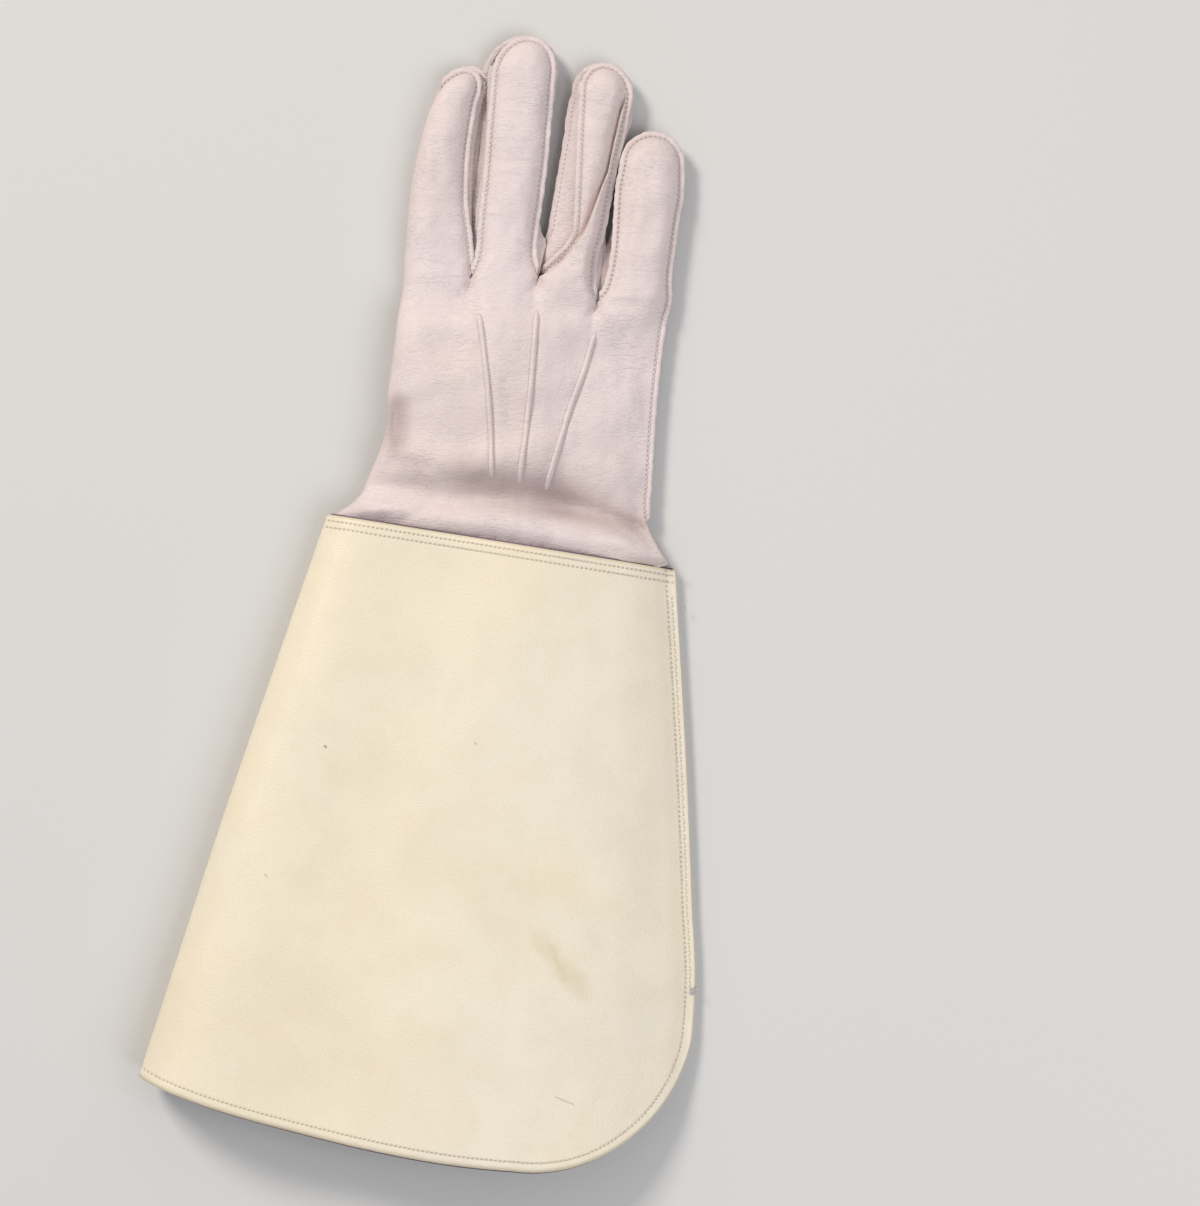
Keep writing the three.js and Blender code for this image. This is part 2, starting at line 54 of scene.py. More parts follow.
# %% Units and places
MM = 0.001
CUFF_MIDDLE = np.array([32.29, 22.78, 0.0])
PIXELS_PER_MM = 2.6
CUFF_MIDDLE_PIXEL = np.array([501.0, 542.0])


def to_frame(points):
    """Millimetres from the cuff's top edge, moved to the frame's origin and put in metres."""
    return (np.asarray(points, dtype=float) + CUFF_MIDDLE) * MM


def from_photo(points):
    """Pixel places in the photograph as millimetres: right is +x and up is +y."""
    pixels = np.asarray(points, dtype=float)
    return (pixels - CUFF_MIDDLE_PIXEL) * np.array([1.0, -1.0]) / PIXELS_PER_MM


def linked(name, data):
    """New object that holds the data, put into the scene."""
    item = bpy.data.objects.new(name, data)
    bpy.context.collection.objects.link(item)
    return item


# %% [markdown]
# The photograph was taken from straight above, so the camera looks down along -Z.
# It stands far off with a long lens, which keeps the outline close to a flat drawing.
# The lens follows from the distance and the width of the picture on the table.

# %% Camera
PHOTO_SIZE = (1200, 1206)
CAMERA_HEIGHT = 1.6
GLOVE_MIDDLE_HEIGHT = 0.014
view_middle = to_frame(np.append(from_photo(np.array(PHOTO_SIZE) / 2), 0.0))
view_height = PHOTO_SIZE[1] / PIXELS_PER_MM * MM

camera_data = bpy.data.cameras.new("camera")
camera_data.sensor_width = 36.0
camera_data.lens = camera_data.sensor_width * (CAMERA_HEIGHT - GLOVE_MIDDLE_HEIGHT) / view_height
camera = linked("camera", camera_data)
camera.location = (view_middle[0], view_middle[1], CAMERA_HEIGHT)
bpy.context.scene.camera = camera
print("lens", round(camera_data.lens, 1), "mm")

# %% [markdown]
# A few helpers carry most of the shapes: lengths and directions along a line, a smooth path
# through chosen points, a soft step, and a mesh built from one or more grids whose edges meet.
# Grids that share an edge are welded there, as two cut panels of one hide are one piece.


# %% Path, soft step and grid helpers
SMOOTHINGS = 6


def running(points):
    """Length run along a row of points, starting at 0."""
    return np.concatenate([[0], np.cumsum(np.linalg.norm(np.diff(points, axis=0), axis=1))])


def sampled(line, run, at):
    """Places on a line at the lengths asked for, by linear steps between its points."""
    return np.column_stack([np.interp(at, run, line[:, axis]) for axis in range(line.shape[1])])


def directions(line, smoothings=0):
    """Unit direction at each point of a line, first averaged a few times with its neighbours."""
    ahead = np.gradient(line, axis=0)
    for _ in range(smoothings):
        ahead[1:-1] = (ahead[:-2] + ahead[1:-1] + ahead[2:]) / 3
    return ahead / np.linalg.norm(ahead, axis=1)[:, None]


def left_of(ahead):
    """Directions in plan turned a quarter to the left."""
    return np.column_stack([-ahead[:, 1], ahead[:, 0]])


def path(points, count):
    """A smooth curve through points, cut into equal lengths.
    Each stretch is a cubic whose slopes come from its neighbours (a Catmull-Rom spline)."""
    points = np.asarray(points, dtype=float)
    ends = np.vstack([2 * points[0] - points[1], points, 2 * points[-1] - points[-2]])
    share = np.linspace(0, len(points) - 1, 24 * len(points))
    row = np.minimum(share.astype(int), len(points) - 2)
    part = (share - row)[:, None]
    before, start, end, after = ends[row], ends[row + 1], ends[row + 2], ends[row + 3]
    curve = start + 0.5 * part * (
        end - before
        + part * (2 * before - 5 * start + 4 * end - after + part * (3 * (start - end) + after - before))
    )
    length = running(curve)
    return sampled(curve, length, np.linspace(0, length[-1], count))


def step(value, low, high):
    """Soft step: 0 below low, 1 above high, and 3s^2 - 2s^3 between them."""
    share = np.clip((value - low) / (high - low), 0, 1)
    return share * share * (3 - 2 * share)


def hump(distance, width):
    """Bell curve exp(-(distance / width)^2), used for rolls, creases and puckers."""
    return np.exp(-((distance / width) ** 2))


def mesh_from_grids(name, grids, weld=0.02, flip=(), places=None):
    """One mesh from grids of points in millimetres; points closer than weld become one.
    A grid named in flip is turned over, so that every face looks out of the glove.
    places gives, by name, a list with two numbers for each point of each grid: a UV map."""
    points, faces, start = [], [], 0
    for index, grid in enumerate(grids):
        rows, columns = grid.shape[:2]
        number = np.arange(rows * columns).reshape(rows, columns) + start
        quads = np.stack([number[:-1, :-1], number[:-1, 1:], number[1:, 1:], number[1:, :-1]], axis=-1)
        quads = quads.reshape(-1, 4)
        faces.append(quads[:, ::-1] if index in flip else quads)
        points.append(grid.reshape(-1, 3))
        start += rows * columns
    mesh = bpy.data.meshes.new(name)
    mesh.from_pydata(to_frame(np.vstack(points)).tolist(), [], np.vstack(faces).tolist())
    corners = np.vstack(faces).ravel()
    for key, values in (places or {}).items():
        flat = np.vstack([value.reshape(-1, 2) for value in values])
        mesh.uv_layers.new(name=key).uv.foreach_set("vector", flat[corners].ravel())
    work = bmesh.new()
    work.from_mesh(mesh)
    bmesh.ops.remove_doubles(work, verts=work.verts, dist=weld * MM)
    bmesh.ops.dissolve_degenerate(work, edges=work.edges, dist=weld * MM * 0.1)
    work.to_mesh(mesh)
    work.free()
    mesh.shade_smooth()
    print(name, len(mesh.polygons), "faces")
    return linked(name, mesh)


def thicken(piece, wall):
    """Gives a sheet its wall, measured inwards from the outer face."""
    solid = piece.modifiers.new("wall", "SOLIDIFY")
    solid.thickness = wall * MM
    solid.offset = -1
    return piece

# %% [markdown]
# The cuff is a wide cone of stiff leather laid flat, folded at the left and sewn at the right.
# It has its own directions: v across it from its middle line and u down it from its top edge.
# Its hem is an arc that turns up into the seamed edge round a large corner. So its columns
# start from points along that hem line, evenly turned round the corner, and run up to the top.

# %% Forms of the cuff
CUFF_TILT = np.radians(9.1)
CUFF_LENGTH = 237.0
CUFF_TOP_WIDTH = 136.0
CUFF_FLARE_WIDTH = 39.0
CUFF_HEIGHTS = (23.0, 34.0)
CUFF_EDGE = 4.4
CUFF_WALL = 1.2
LINING_WALL = 0.65
LINING_SHOWS = 0.6
VENT_TOP = 159.5
VENT_RISE = 5.0
HEM_SAG = 13.0
HEM_LOWEST = 11.0
HEM_REACH = 118.0
CORNER = 60.0
CUFF_ROWS = 112
CUFF_ROUNDNESS = 2.1
SEAM_FLAT = 9.0
HEM_COLUMNS = 66
CORNER_COLUMNS = 26
SHEET_GAP = 0.3
# Share across from the fold to the seam, and share of the height there
CUFF_CREST = path([(0.0, 0.72), (0.14, 0.96), (0.34, 0.84), (0.58, 1.0), (0.82, 0.62), (1.0, 0.0)], 300)
# Share down the cuff, and share of the flare at the fold and at the seam
CUFF_EDGES = path([(0, 0, 0), (0.30, 0.32, 0.40), (0.52, 0.55, 0.67), (0.70, 0.72, 0.87), (1, 1, 0.96),
                   (1.06, 1.06, 0.98)], 300)


def cuff_side(down, column):
    """Half width of the cuff at the fold (column 1) or at the seam (column 2)."""
    flare = np.interp(np.maximum(down, 0) / CUFF_LENGTH, CUFF_EDGES[:, 0], CUFF_EDGES[:, column])
    return CUFF_TOP_WIDTH / 2 + CUFF_FLARE_WIDTH * flare


def edge_height(down):
    """Height of the seamed edge, which lifts where the vent parts."""
    return CUFF_EDGE + VENT_RISE * step(down, VENT_TOP, CUFF_LENGTH)


def cuff_plan(across, down):
    """Plan place at a share across and a distance down."""
    v = across * (cuff_side(down, 1) + cuff_side(down, 2)) - cuff_side(down, 1)
    return np.stack([v * np.cos(CUFF_TILT) - down * np.sin(CUFF_TILT),
                     -v * np.sin(CUFF_TILT) - down * np.cos(CUFF_TILT)], axis=-1)


def cuff_height(across, down, face, depth=0.0):
    """Height of the top or the under sheet, a depth inside the outer face.
    The top follows the crest table, pressed flat along the seam; both faces close round the fold."""
    width = cuff_side(down, 1) + cuff_side(down, 2)
    edge = edge_height(down)
    full = CUFF_HEIGHTS[0] + (CUFF_HEIGHTS[1] - CUFF_HEIGHTS[0]) * np.clip(down / CUFF_LENGTH, 0, 1)
    crest = np.interp(across, CUFF_CREST[:, 0], CUFF_CREST[:, 1])
    crest = crest * step(1 - across, 0.0, SEAM_FLAT / width) ** 0.5
    top = edge + (full - edge) * crest - depth
    inward = np.clip(across * width / (full * 0.5), 0, 1)
    turn = (1 - (1 - inward) ** CUFF_ROUNDNESS) ** (1 / CUFF_ROUNDNESS)
    middle = (top + depth) / 2
    return middle + (top - middle) * turn if face == "top" else middle - (middle - depth) * turn


def hem_line(columns, corner_columns, extra=0.0):
    """End of each column along the hem: share across, and distance down.
    First the arc u = L - sag ((v - lowest) / reach)^2, then a quarter circle in even angles."""
    edge = cuff_side(CUFF_LENGTH - CORNER, 2) + extra
    radius = CORNER + extra
    low = CUFF_LENGTH - HEM_SAG * ((edge - radius - HEM_LOWEST) / HEM_REACH) ** 2 + extra
    start = -cuff_side(CUFF_LENGTH - HEM_SAG, 1)
    share = np.linspace(0, 1, columns, endpoint=False) ** 1.5
    v = start + (edge - radius - start) * share
    u = CUFF_LENGTH - HEM_SAG * ((v - HEM_LOWEST) / HEM_REACH) ** 2 + extra
    angle = np.linspace(np.pi / 2, 0, corner_columns + 1)
    v = np.concatenate([v, edge - radius + radius * np.cos(angle)])
    u = np.concatenate([u, low - radius + radius * np.sin(angle)])
    across = (v + cuff_side(u, 1)) / (cuff_side(u, 1) + cuff_side(u, 2))
    across[0] = 0.0
    return np.clip(across, 0, 1), u


def cuff_sheet(face, depth=0.0, extra=0.0, margin=0.0):
    """Grid of one face, with rows from the hem up to the top edge.
    depth moves it inside the outer face; margin keeps it away from fold and seam."""
    across, end = hem_line(HEM_COLUMNS, CORNER_COLUMNS, extra)
    rows = np.linspace(1, 0, CUFF_ROWS)[:, None]
    down = rows * (end[None] + extra) - extra
    width = cuff_side(down, 1) + cuff_side(down, 2)
    inner = (across[None] * (width - depth - margin) + depth) / width
    plan = cuff_plan(inner, down)
    height = cuff_height(np.broadcast_to(across, down.shape), down, face, depth)
    if face == "top":
        swell = waves(plan, 21, 10, 0.026, (30.0, 90.0))
        height = height + swell * step(across, 0.02, 0.2) * step(1 - across, 0, 0.12)
    return np.dstack([plan, height])


# %% [markdown]
# The trank is the big panel of a glove: back and palm are cut as one, folded on the index side.
# From the fork row up it is slit into four fingers. Each finger is a lane of the grid that starts
# at its two forks, follows two measured seam lines and closes in a round cap.
# The tables give those lines in pixels of the photograph, fork first and fingertip last.

# %% Outlines of the hand
# Left fold and right seam line of the palm, from the fork row down to the cuff's top edge
PALM_EDGES = {
    "fold": [(402, 284), (398, 310), (395, 339), (391, 366), (387.6, 393), (386, 426), (379, 451),
             (367, 478), (361, 492), (351, 503), (340, 510), (333, 515)],
    "seam": [(667, 300), (662, 318), (658, 345), (655, 370), (652, 400), (649.5, 435), (648, 460),
             (646.5, 488), (645, 508), (648, 526), (658.5, 547), (668.5, 564)],
}
FORKS_BACK = [(402, 284), (470.5, 277.5), (538.5, 274.5), (597, 301), (667, 300)]
FORKS_PALM = [(402, 284), (470, 250), (546, 243), (603, 257), (667, 300)]

# The index finger's left line is the fold, and the little finger's right line is the outer seam;
# back and palm share both
INDEX_FOLD = [(402, 284), (404.5, 240), (408, 204), (411.5, 176), (418, 145), (426, 116), (433, 99)]
LITTLE_SEAM = [(667, 300), (667, 275), (670, 250), (674.5, 217), (679, 192), (679.5, 163)]

# Seam lines of the back panels
BACK_LINES = {
    "index": {
        "left": INDEX_FOLD,
        "right": [(470.5, 277.5), (467, 240), (462.5, 205), (462.4, 178), (464.5, 145), (469, 115),
                  (472, 98)],
        "apex": (465, 71)},
    "middle": {
        "left": [(470.5, 277.5), (477, 265), (481, 250), (484, 216), (489, 170), (492, 130), (495, 95),
                 (497, 72)],
        "right": [(538.5, 274.5), (533, 262), (531, 247), (533.5, 222), (538, 193), (542.5, 157),
                  (546.5, 112), (550, 72)],
        "apex": (528, 39)},
    "ring": {
        "left": [(538.5, 274.5), (551, 264), (566, 250), (577, 234), (579.5, 210), (581.5, 163),
                 (583, 125), (585, 93)],
        "right": [(597, 301), (591, 285), (593, 255), (599.6, 232), (605, 205), (612, 168), (621, 128),
                  (628, 94)],
        "apex": (605, 66)},
    "little": {
        "left": [(597, 301), (607, 290), (613, 271), (617, 245), (619, 215), (621, 187), (625.5, 163)],
        "right": LITTLE_SEAM,
        "apex": (653, 135)},
}

# Seam lines of the palm panels, which reach a little further out than the back panels
PALM_LINES = {
    "index": {
        "left": INDEX_FOLD,
        "right": [(470, 250), (469, 232), (470, 205), (471.5, 178), (473.5, 148), (478, 120), (482, 98)],
        "apex": (468, 69)},
    "middle": {
        "left": [(470, 250), (472, 232), (475, 208), (480, 178), (484, 150), (487, 112), (486, 76)],
        "right": [(546, 243), (537, 234), (534, 214), (539, 178), (542.5, 150), (547, 110), (552, 72)],
        "apex": (524, 38)},
    "ring": {
        "left": [(546, 243), (552, 232), (556, 210), (563, 170), (569, 135), (572, 110), (577, 92)],
        "right": [(603, 257), (600, 235), (604, 208), (609, 185), (618, 145), (626, 118), (629, 94)],
        "apex": (603, 66)},
    "little": {
        "left": [(603, 257), (614, 240), (618, 221), (621, 200), (624, 178), (627, 163)],
        "right": LITTLE_SEAM,
        "apex": (653, 135)},
}
FINGER_NAMES = list(BACK_LINES)

# Heights of the seams and the crown above the table, in millimetres, for each finger:
# back seam left and right, palm seam left and right, crown of the back panel
FINGER_HEIGHTS = {
    "index": {"back": (6.4, 9.4), "palm": (6.4, 3.4), "crown": 14.0},
    "middle": {"back": (10.6, 9.0), "palm": (3.6, 3.2), "crown": 14.6},
    "ring": {"back": (12.6, 8.4), "palm": (4.4, 3.2), "crown": 15.2},
    "little": {"back": (9.8, 6.9), "palm": (3.4, 4.8), "crown": 13.8},
}
FORK_HEIGHTS = {"back": [4.8, 10.5, 10.5, 10.3, 5.9], "palm": [4.8, 4.0, 4.0, 4.0, 3.8]}
TIP_HEIGHT = 6.6

# %% [markdown]
# The palm part is a soft tube: its back is crowned, the thumb folded beneath lifts the index side,
# and just above the cuff the leather sinks into a crease and then swells in a soft roll.
# Every height is worked out at once from two shares, across the hand and down towards the cuff.

# %% Heights of the palm part
PALM_THICKNESS = 13.5
THUMB_LIFT = 7.9
FOLD_RADIUS = 9.0
FOLD_ROUNDNESS = 2.4
# How far and how steeply the back falls off to the seam and to the fold
CROWN_TO_SEAM = (0.50, 1.9)
CROWN_TO_FOLD = (0.34, 3.2)
TUCK = 12.0
TUCK_DEPTH = 2.7
LEATHER = 1.0
PLY = LEATHER + 0.05
OUTER_SEAM = 4.4
ROLL = {"above_cuff": 6.0, "rise": 2.6, "width": 5.0}


def above_cuff(points):
    """Distance of a point from the cuff's top edge, counted up the tilted hand."""
    return points[..., 0] * np.sin(CUFF_TILT) + points[..., 1] * np.cos(CUFF_TILT)


def lower_of(first, second, softness=0.5):
    """Soft minimum -k log(exp(-a / k) + exp(-b / k)), which rounds the corner where two meet."""
    return -softness * np.logaddexp(-first / softness, -second / softness)


def inside_cuff(plan, top, under):
    """Keeps both faces inside the lining where the hand is tucked into the cuff. The limit is the
    lining's inner face, and it opens steeply above the cuff's top edge."""
    up = above_cuff(plan)
    v = plan[..., 0] * np.cos(CUFF_TILT) - plan[..., 1] * np.sin(CUFF_TILT)
    down = np.maximum(-up, 0)
    left, right = cuff_side(down, 1), cuff_side(down, 2)
    across = np.clip((v + left - TUCK_DEPTH) / (left + right - TUCK_DEPTH), 0, 1)
    free = 1.6 * np.maximum(up, 0) + 60 * step(up, 4, 12)
    high = cuff_height(across, down, "top", TUCK_DEPTH) + free
    low = cuff_height(across, down, "under", TUCK_DEPTH) - free
    return lower_of(top, high), -lower_of(-under, -low)


def palm_heights(plan, across, width):
    """Heights of back and palm at shares across the hand: a flat-topped crown over a lifted floor,
    with both faces brought together round the fold by a quarter of a superellipse."""
    up = above_cuff(plan)
    lift = THUMB_LIFT * step(up, 6, 30) * (1 - step(up, 78, 96)) * (1 - step(across, 0.38, 0.74))
    floor = 0.4 + 2.8 * (1 - step(up, 4, 26)) + lift
    side = 2 * across - 1
    falls = (fall * np.abs(side) ** power for fall, power in (CROWN_TO_SEAM, CROWN_TO_FOLD))
    crown = 1 - np.where(side > 0, *falls)
    top = floor * 0.9 + PALM_THICKNESS * crown
    top += ROLL["rise"] * hump(up - ROLL["above_cuff"], ROLL["width"])
    inward = np.clip(across * width / FOLD_RADIUS, 0, 1)
    turn = (1 - (1 - inward) ** FOLD_ROUNDNESS) ** (1 / FOLD_ROUNDNESS)
    middle = (top + floor) / 2
    seam = OUTER_SEAM + floor
    near_rim = np.sqrt(step(1 - across, 0, 0.10))
    top = seam + PLY + (top - seam - PLY) * near_rim
    under = seam - PLY + (floor - seam + PLY) * near_rim
    return inside_cuff(plan, middle + (top - middle) * turn, middle - (middle - under) * turn)


def finger_heights(number, across, share, cap, face):
    """Height of one face of a finger: a line between its two seams plus a pillow between them.
    The seams leave the heights of the forks and come together at the tip; the fold is rounder."""
    heights = FINGER_HEIGHTS[FINGER_NAMES[number]]
    starts = FORK_HEIGHTS[face][number:number + 2]
    settle = step(share, 0.0, 0.16)
    left, right = (start + (end - start) * settle for start, end in zip(starts, heights[face]))
    line = left + (right - left) * (across + 1) / 2
    tip = TIP_HEIGHT + (PLY if face == "back" else -PLY)
    late = 0.45 * (number == 0) * step(-across, 0.0, 0.9)
    line = line + (tip - line) * step(cap, late, 1.0)
    crown = heights["crown"] if face == "back" else 0.5
    roundness = np.where((across < 0) & (number == 0), 0.5, 0.8)
    pillow = (1 - np.abs(across) ** 2.6) ** roundness * (1 - cap**2.4) ** 0.7
    return line + (crown - line) * pillow


# %% [markdown]
# One function makes a lane: rows of points from the tuck inside the cuff up to the fork row,
# then up the finger, then over the cap, where a square grid is bent into a half disc.
# A second one adds the narrow raw edge that stands outside a prick seam, built by pushing
# the boundary outwards along its own normal in plan.

# %% Lanes of the trank
COLUMNS = 30
PALM_ROWS = 58
FINGER_ROWS = 64
CAP_ROWS = 15
RIM_STEPS = 2
RIM = 2.1
RIM_START = 3.0
WHOLE_WIDTH = 101.0


def palm_plan(forks, start, end):
    """Plan places between two forks from the cuff up to the fork row.
    Each row is a straight line between fold and seam; towards the fork row it bends
    up or down to pass through the forks."""
    fold, seam = (path(from_photo(PALM_EDGES[side])[::-1], PALM_ROWS) for side in ("fold", "seam"))
    down = np.array([-np.sin(CUFF_TILT), -np.cos(CUFF_TILT)])
    inside = np.linspace(TUCK, 0, 8, endpoint=False)[:, None]
    inward = np.array([1.0, 0.0])
    fold = np.vstack([fold[0] + down * inside + inward * (0.9 - inside * 0.2), fold])
    seam = np.vstack([seam[0] + down * inside - inward * (2.6 + inside * 0.8), seam])
    corners = from_photo(forks)
    shares = (corners[:, 0] - corners[0, 0]) / (corners[-1, 0] - corners[0, 0])
    across = shares[start] + (shares[end] - shares[start]) * np.linspace(0, 1, COLUMNS + 1)
    plan = fold[:, None] + (seam - fold)[:, None] * across[None, :, None]
    straight = corners[0] + (corners[-1] - corners[0]) * across[:, None]
    bent = np.column_stack([np.interp(across, shares, corners[:, axis]) for axis in (0, 1)])
    near = step(np.linspace(0, 1, len(fold)), 0.62, 1.0)[:, None, None]
    return plan + (bent - straight)[None] * near, across


def finger_plan(lines):
    """Plan places of one finger above its forks, as rows from the fork to the shoulder and
    then rows of a half disc: x = u sqrt(1 - v^2 / 2) and y = v sqrt(1 - u^2 / 2)."""
    left, right = (path(from_photo(lines[side]), FINGER_ROWS + 1) for side in ("left", "right"))
    share = np.linspace(0, 1, COLUMNS + 1)[None, :, None]
    stem = left[:, None] + (right - left)[:, None] * share
    middle, half = (left[-1] + right[-1]) / 2, (right[-1] - left[-1]) / 2
    reach = from_photo(lines["apex"]) - middle
    u = np.linspace(-1, 1, COLUMNS + 1)[None, :, None]
    v = np.linspace(0, 1, CAP_ROWS + 1)[1:, None, None]
    cap = middle + half * u * np.sqrt(1 - v**2 / 2) + reach * v * np.sqrt(1 - u**2 / 2)
    return np.concatenate([stem[1:], cap])


def lane(number, face):
    """All points of one lane of the back or the palm, with heights blended across the fork row."""
    forks = FORKS_BACK if face == "back" else FORKS_PALM
    lines = (BACK_LINES if face == "back" else PALM_LINES)[FINGER_NAMES[number]]
    below, hand_share = palm_plan(forks, number, number + 1)
    above = finger_plan(lines)
    plan = np.concatenate([below, above])
    rows = len(below)
    across = np.linspace(-1, 1, COLUMNS + 1)[None, :] * np.ones((len(plan), 1))
    share = np.clip((np.arange(len(plan)) - rows + 1) / FINGER_ROWS, 0, 1)[:, None]
    cap = np.clip((np.arange(len(plan)) - rows - FINGER_ROWS + 1) / CAP_ROWS, 0, 1)[:, None]
    palm_back, palm_under = palm_heights(plan, hand_share[None, :], WHOLE_WIDTH)
    finger = finger_heights(number, across, share, cap, face)
    climb = np.concatenate([np.arange(1 - rows, 1) * 1.45, np.arange(1, len(above) + 1) * 1.3])
    weight = step(climb, -17, 5)[:, None]
    height = (palm_back if face == "back" else palm_under) * (1 - weight) + finger * weight
    return np.dstack([plan, height]), rows


def rim_of(grid, fork_row, sides, rise, right_row=None):
    """Narrow edge outside a seam: each point of the boundary goes outwards along its normal.
    sides names the edges that carry it; it widens over the first stretch above a fork.
    Where right_row is given, the right edge carries it down to that row of the palm."""
    last_row = fork_row if right_row is None else right_row
    left, top, right = grid[fork_row:, 0], grid[-1], grid[last_row:, -1][::-1]
    around = np.vstack([left[:-1], top[:-1], right])
    outward = left_of(directions(around[:, :2], SMOOTHINGS))
    length = running(around[:, :2])
    width = 1 + 0.04 * np.sin(length * 1.9 + 7 * fork_row) + 0.05 * np.sin(length * 0.83)
    if "left" in sides:
        width *= step(length, 0, RIM_START)
    else:
        width *= step(length, length[len(left)] - 5.5, length[len(left)] - 1.5)
    width *= step(length[-1] - length, 0, RIM_START if right_row is None else 1.5)
    steps = np.linspace(0, RIM, RIM_STEPS + 1)[:, None, None]
    flutter = 0.06 * np.sin(length * 0.75) + 0.03 * np.sin(length * 2.1)
    lift = (rise + flutter)[None] * steps[..., 0] * width[None, :]
    push = np.dstack([outward[None] * steps * width[None, :, None], lift])
    return around[None] + push


# %% [markdown]
# Soft leather keeps the marks of its folding. Each mark is a short line on the hand with a depth
# and a width, taken from the photograph; the surface sinks along it like the inside of a bell.
# The ring finger has one long deep fold, where its left side hangs over its right side.
# Below all of them runs a very low swell of seeded waves, so that no stretch is ever quite flat.

# %% Creases of the back
# From x, y, to x, y (pixels), depth and width (millimetres); a negative depth is a swelling
CREASES = np.array([
    (492, 105, 545, 107, 0.22, 1.0), (490, 113, 546, 116, 0.18, 0.9), (488, 140, 541, 142, 0.28, 1.1),
    (487, 160, 538, 163, 0.34, 1.3), (486, 175, 537, 177, 0.24, 1.0), (484, 206, 532, 203, 0.20, 1.4),
    (586, 117, 618, 121, 0.55, 1.1), (586, 140, 609, 143, 0.30, 1.2), (584, 176, 603, 172, 0.30, 1.4),
    (638, 153, 637, 197, 0.55, 1.5), (637, 197, 624, 255, 0.60, 1.6), (624, 255, 615, 286, 0.50, 1.5),
    (606, 302, 668, 307, 0.60, 1.3), (640, 150, 672, 158, 0.25, 1.0), (412, 190, 460, 186, 0.25, 1.2),
    (408, 222, 462, 228, 0.30, 1.6), (420, 140, 462, 143, 0.22, 1.1), (430, 112, 464, 110, 0.20, 1.0),
    (405, 262, 466, 268, 0.35, 2.2), (430, 100, 440, 200, 0.35, 2.6), (470, 282, 456, 298, 0.60, 1.1),
    (470, 282, 480, 302, 0.50, 1.0), (538, 278, 527, 294, 0.60, 1.1), (538, 278, 552, 298, 0.60, 1.2),
    (597, 303, 585, 319, 0.70, 1.2), (597, 303, 612, 322, 0.60, 1.2), (583, 262, 589, 293, -1.3, 3.0),
    (470, 262, 470, 292, 0.90, 1.6), (538, 262, 538, 290, 0.90, 1.6), (597, 288, 597, 316, 0.90, 1.6),
    (398, 398, 404, 452, 1.30, 5.0), (392, 400, 430, 404, 0.50, 2.0), (640, 396, 660, 442, 0.70, 2.6),
    (600, 446, 650, 470, 0.60, 2.6), (382, 458, 440, 468, 0.70, 2.2), (372, 482, 430, 486, 0.80, 1.8),
    (440, 480, 560, 494, 0.60, 2.0), (560, 330, 640, 372, 0.40, 4.0), (420, 330, 470, 350, 0.35, 4.0),
    (540, 548, 560, 526, 0.25, 1.6), (604, 520, 640, 546, 0.80, 1.5), (552, 497, 600, 511, 1.50, 1.3),
    (600, 511, 644, 527, 2.00, 1.3),
    (400, 522, 430, 505, 0.45, 1.6), (350, 508, 400, 500, 0.50, 1.6), (500, 505, 540, 512, 0.60, 1.4),
    (479, 313, 488, 390, 0.35, 2.0), (488, 390, 492, 478, 0.35, 2.0), (537, 309, 530, 393, 0.35, 2.0),
    (530, 393, 519, 483, 0.35, 2.0), (595, 331, 570, 408, 0.35, 2.0), (570, 408, 545, 490, 0.35, 2.0),
])
RING_FOLD = [(632, 84), (627, 95), (622, 109), (614.6, 140), (608.6, 170), (601.4, 188), (592.5, 213),
             (585.4, 231), (578, 241), (570, 253), (556, 267), (541, 275)]
RING_FOLD_DEPTH = 5.2
WRIST_CREASE = [(358, 490), (400, 495), (450, 498), (502, 496), (550, 504), (600, 516), (646, 531)]
WRIST_BANKS = (5.6, 3.8)
# Share along the wrist crease and its depth there
WRIST_DEPTHS = [(0.0, 0.4), (0.2, 1.2), (0.38, 3.0), (0.52, 6.4), (0.68, 6.6), (0.85, 4.8), (1.0, 2.6)]
# Place (pixels), depth (negative swells), half width and half height (millimetres)
DENTS = [
    (420, 350, -1.12, 9, 14), (452, 330, 1.26, 6, 12), (512, 380, 0.98, 6, 16), (556, 350, -0.84, 7, 10),
    (620, 350, 1.4, 9, 9), (610, 410, -1.12, 8, 10), (632, 460, 1.26, 7, 9), (470, 450, 1.12, 9, 7),
    (420, 470, -1.26, 12, 6), (395, 420, 1.54, 5, 10), (540, 440, -0.98, 8, 8), (600, 480, 0.84, 8, 6),
    (385, 507, -1.26, 12, 3), (505, 522, -0.84, 16, 4), (628, 540, -1.4, 8, 3),
    (545, 455, -2.8, 15, 8), (615, 474, -3.0, 13, 8), (475, 462, -0.9, 12, 6),
    (450, 382, -1.3, 24, 8), (450, 430, 1.2, 24, 9), (440, 150, -0.7, 5, 12),
    (447, 220, 0.84, 5, 8), (512, 90, 0.7, 7, 6),
    (515, 230, 0.84, 7, 7), (602, 105, 1.12, 5, 7), (655, 180, -0.7, 5, 9), (648, 240, 0.84, 5, 9),
    (500, 300, -0.98, 10, 5), (565, 310, 0.84, 8, 5), (630, 320, -0.84, 8, 4),
]
WAVES = 14
WAVE_HEIGHT = 0.045


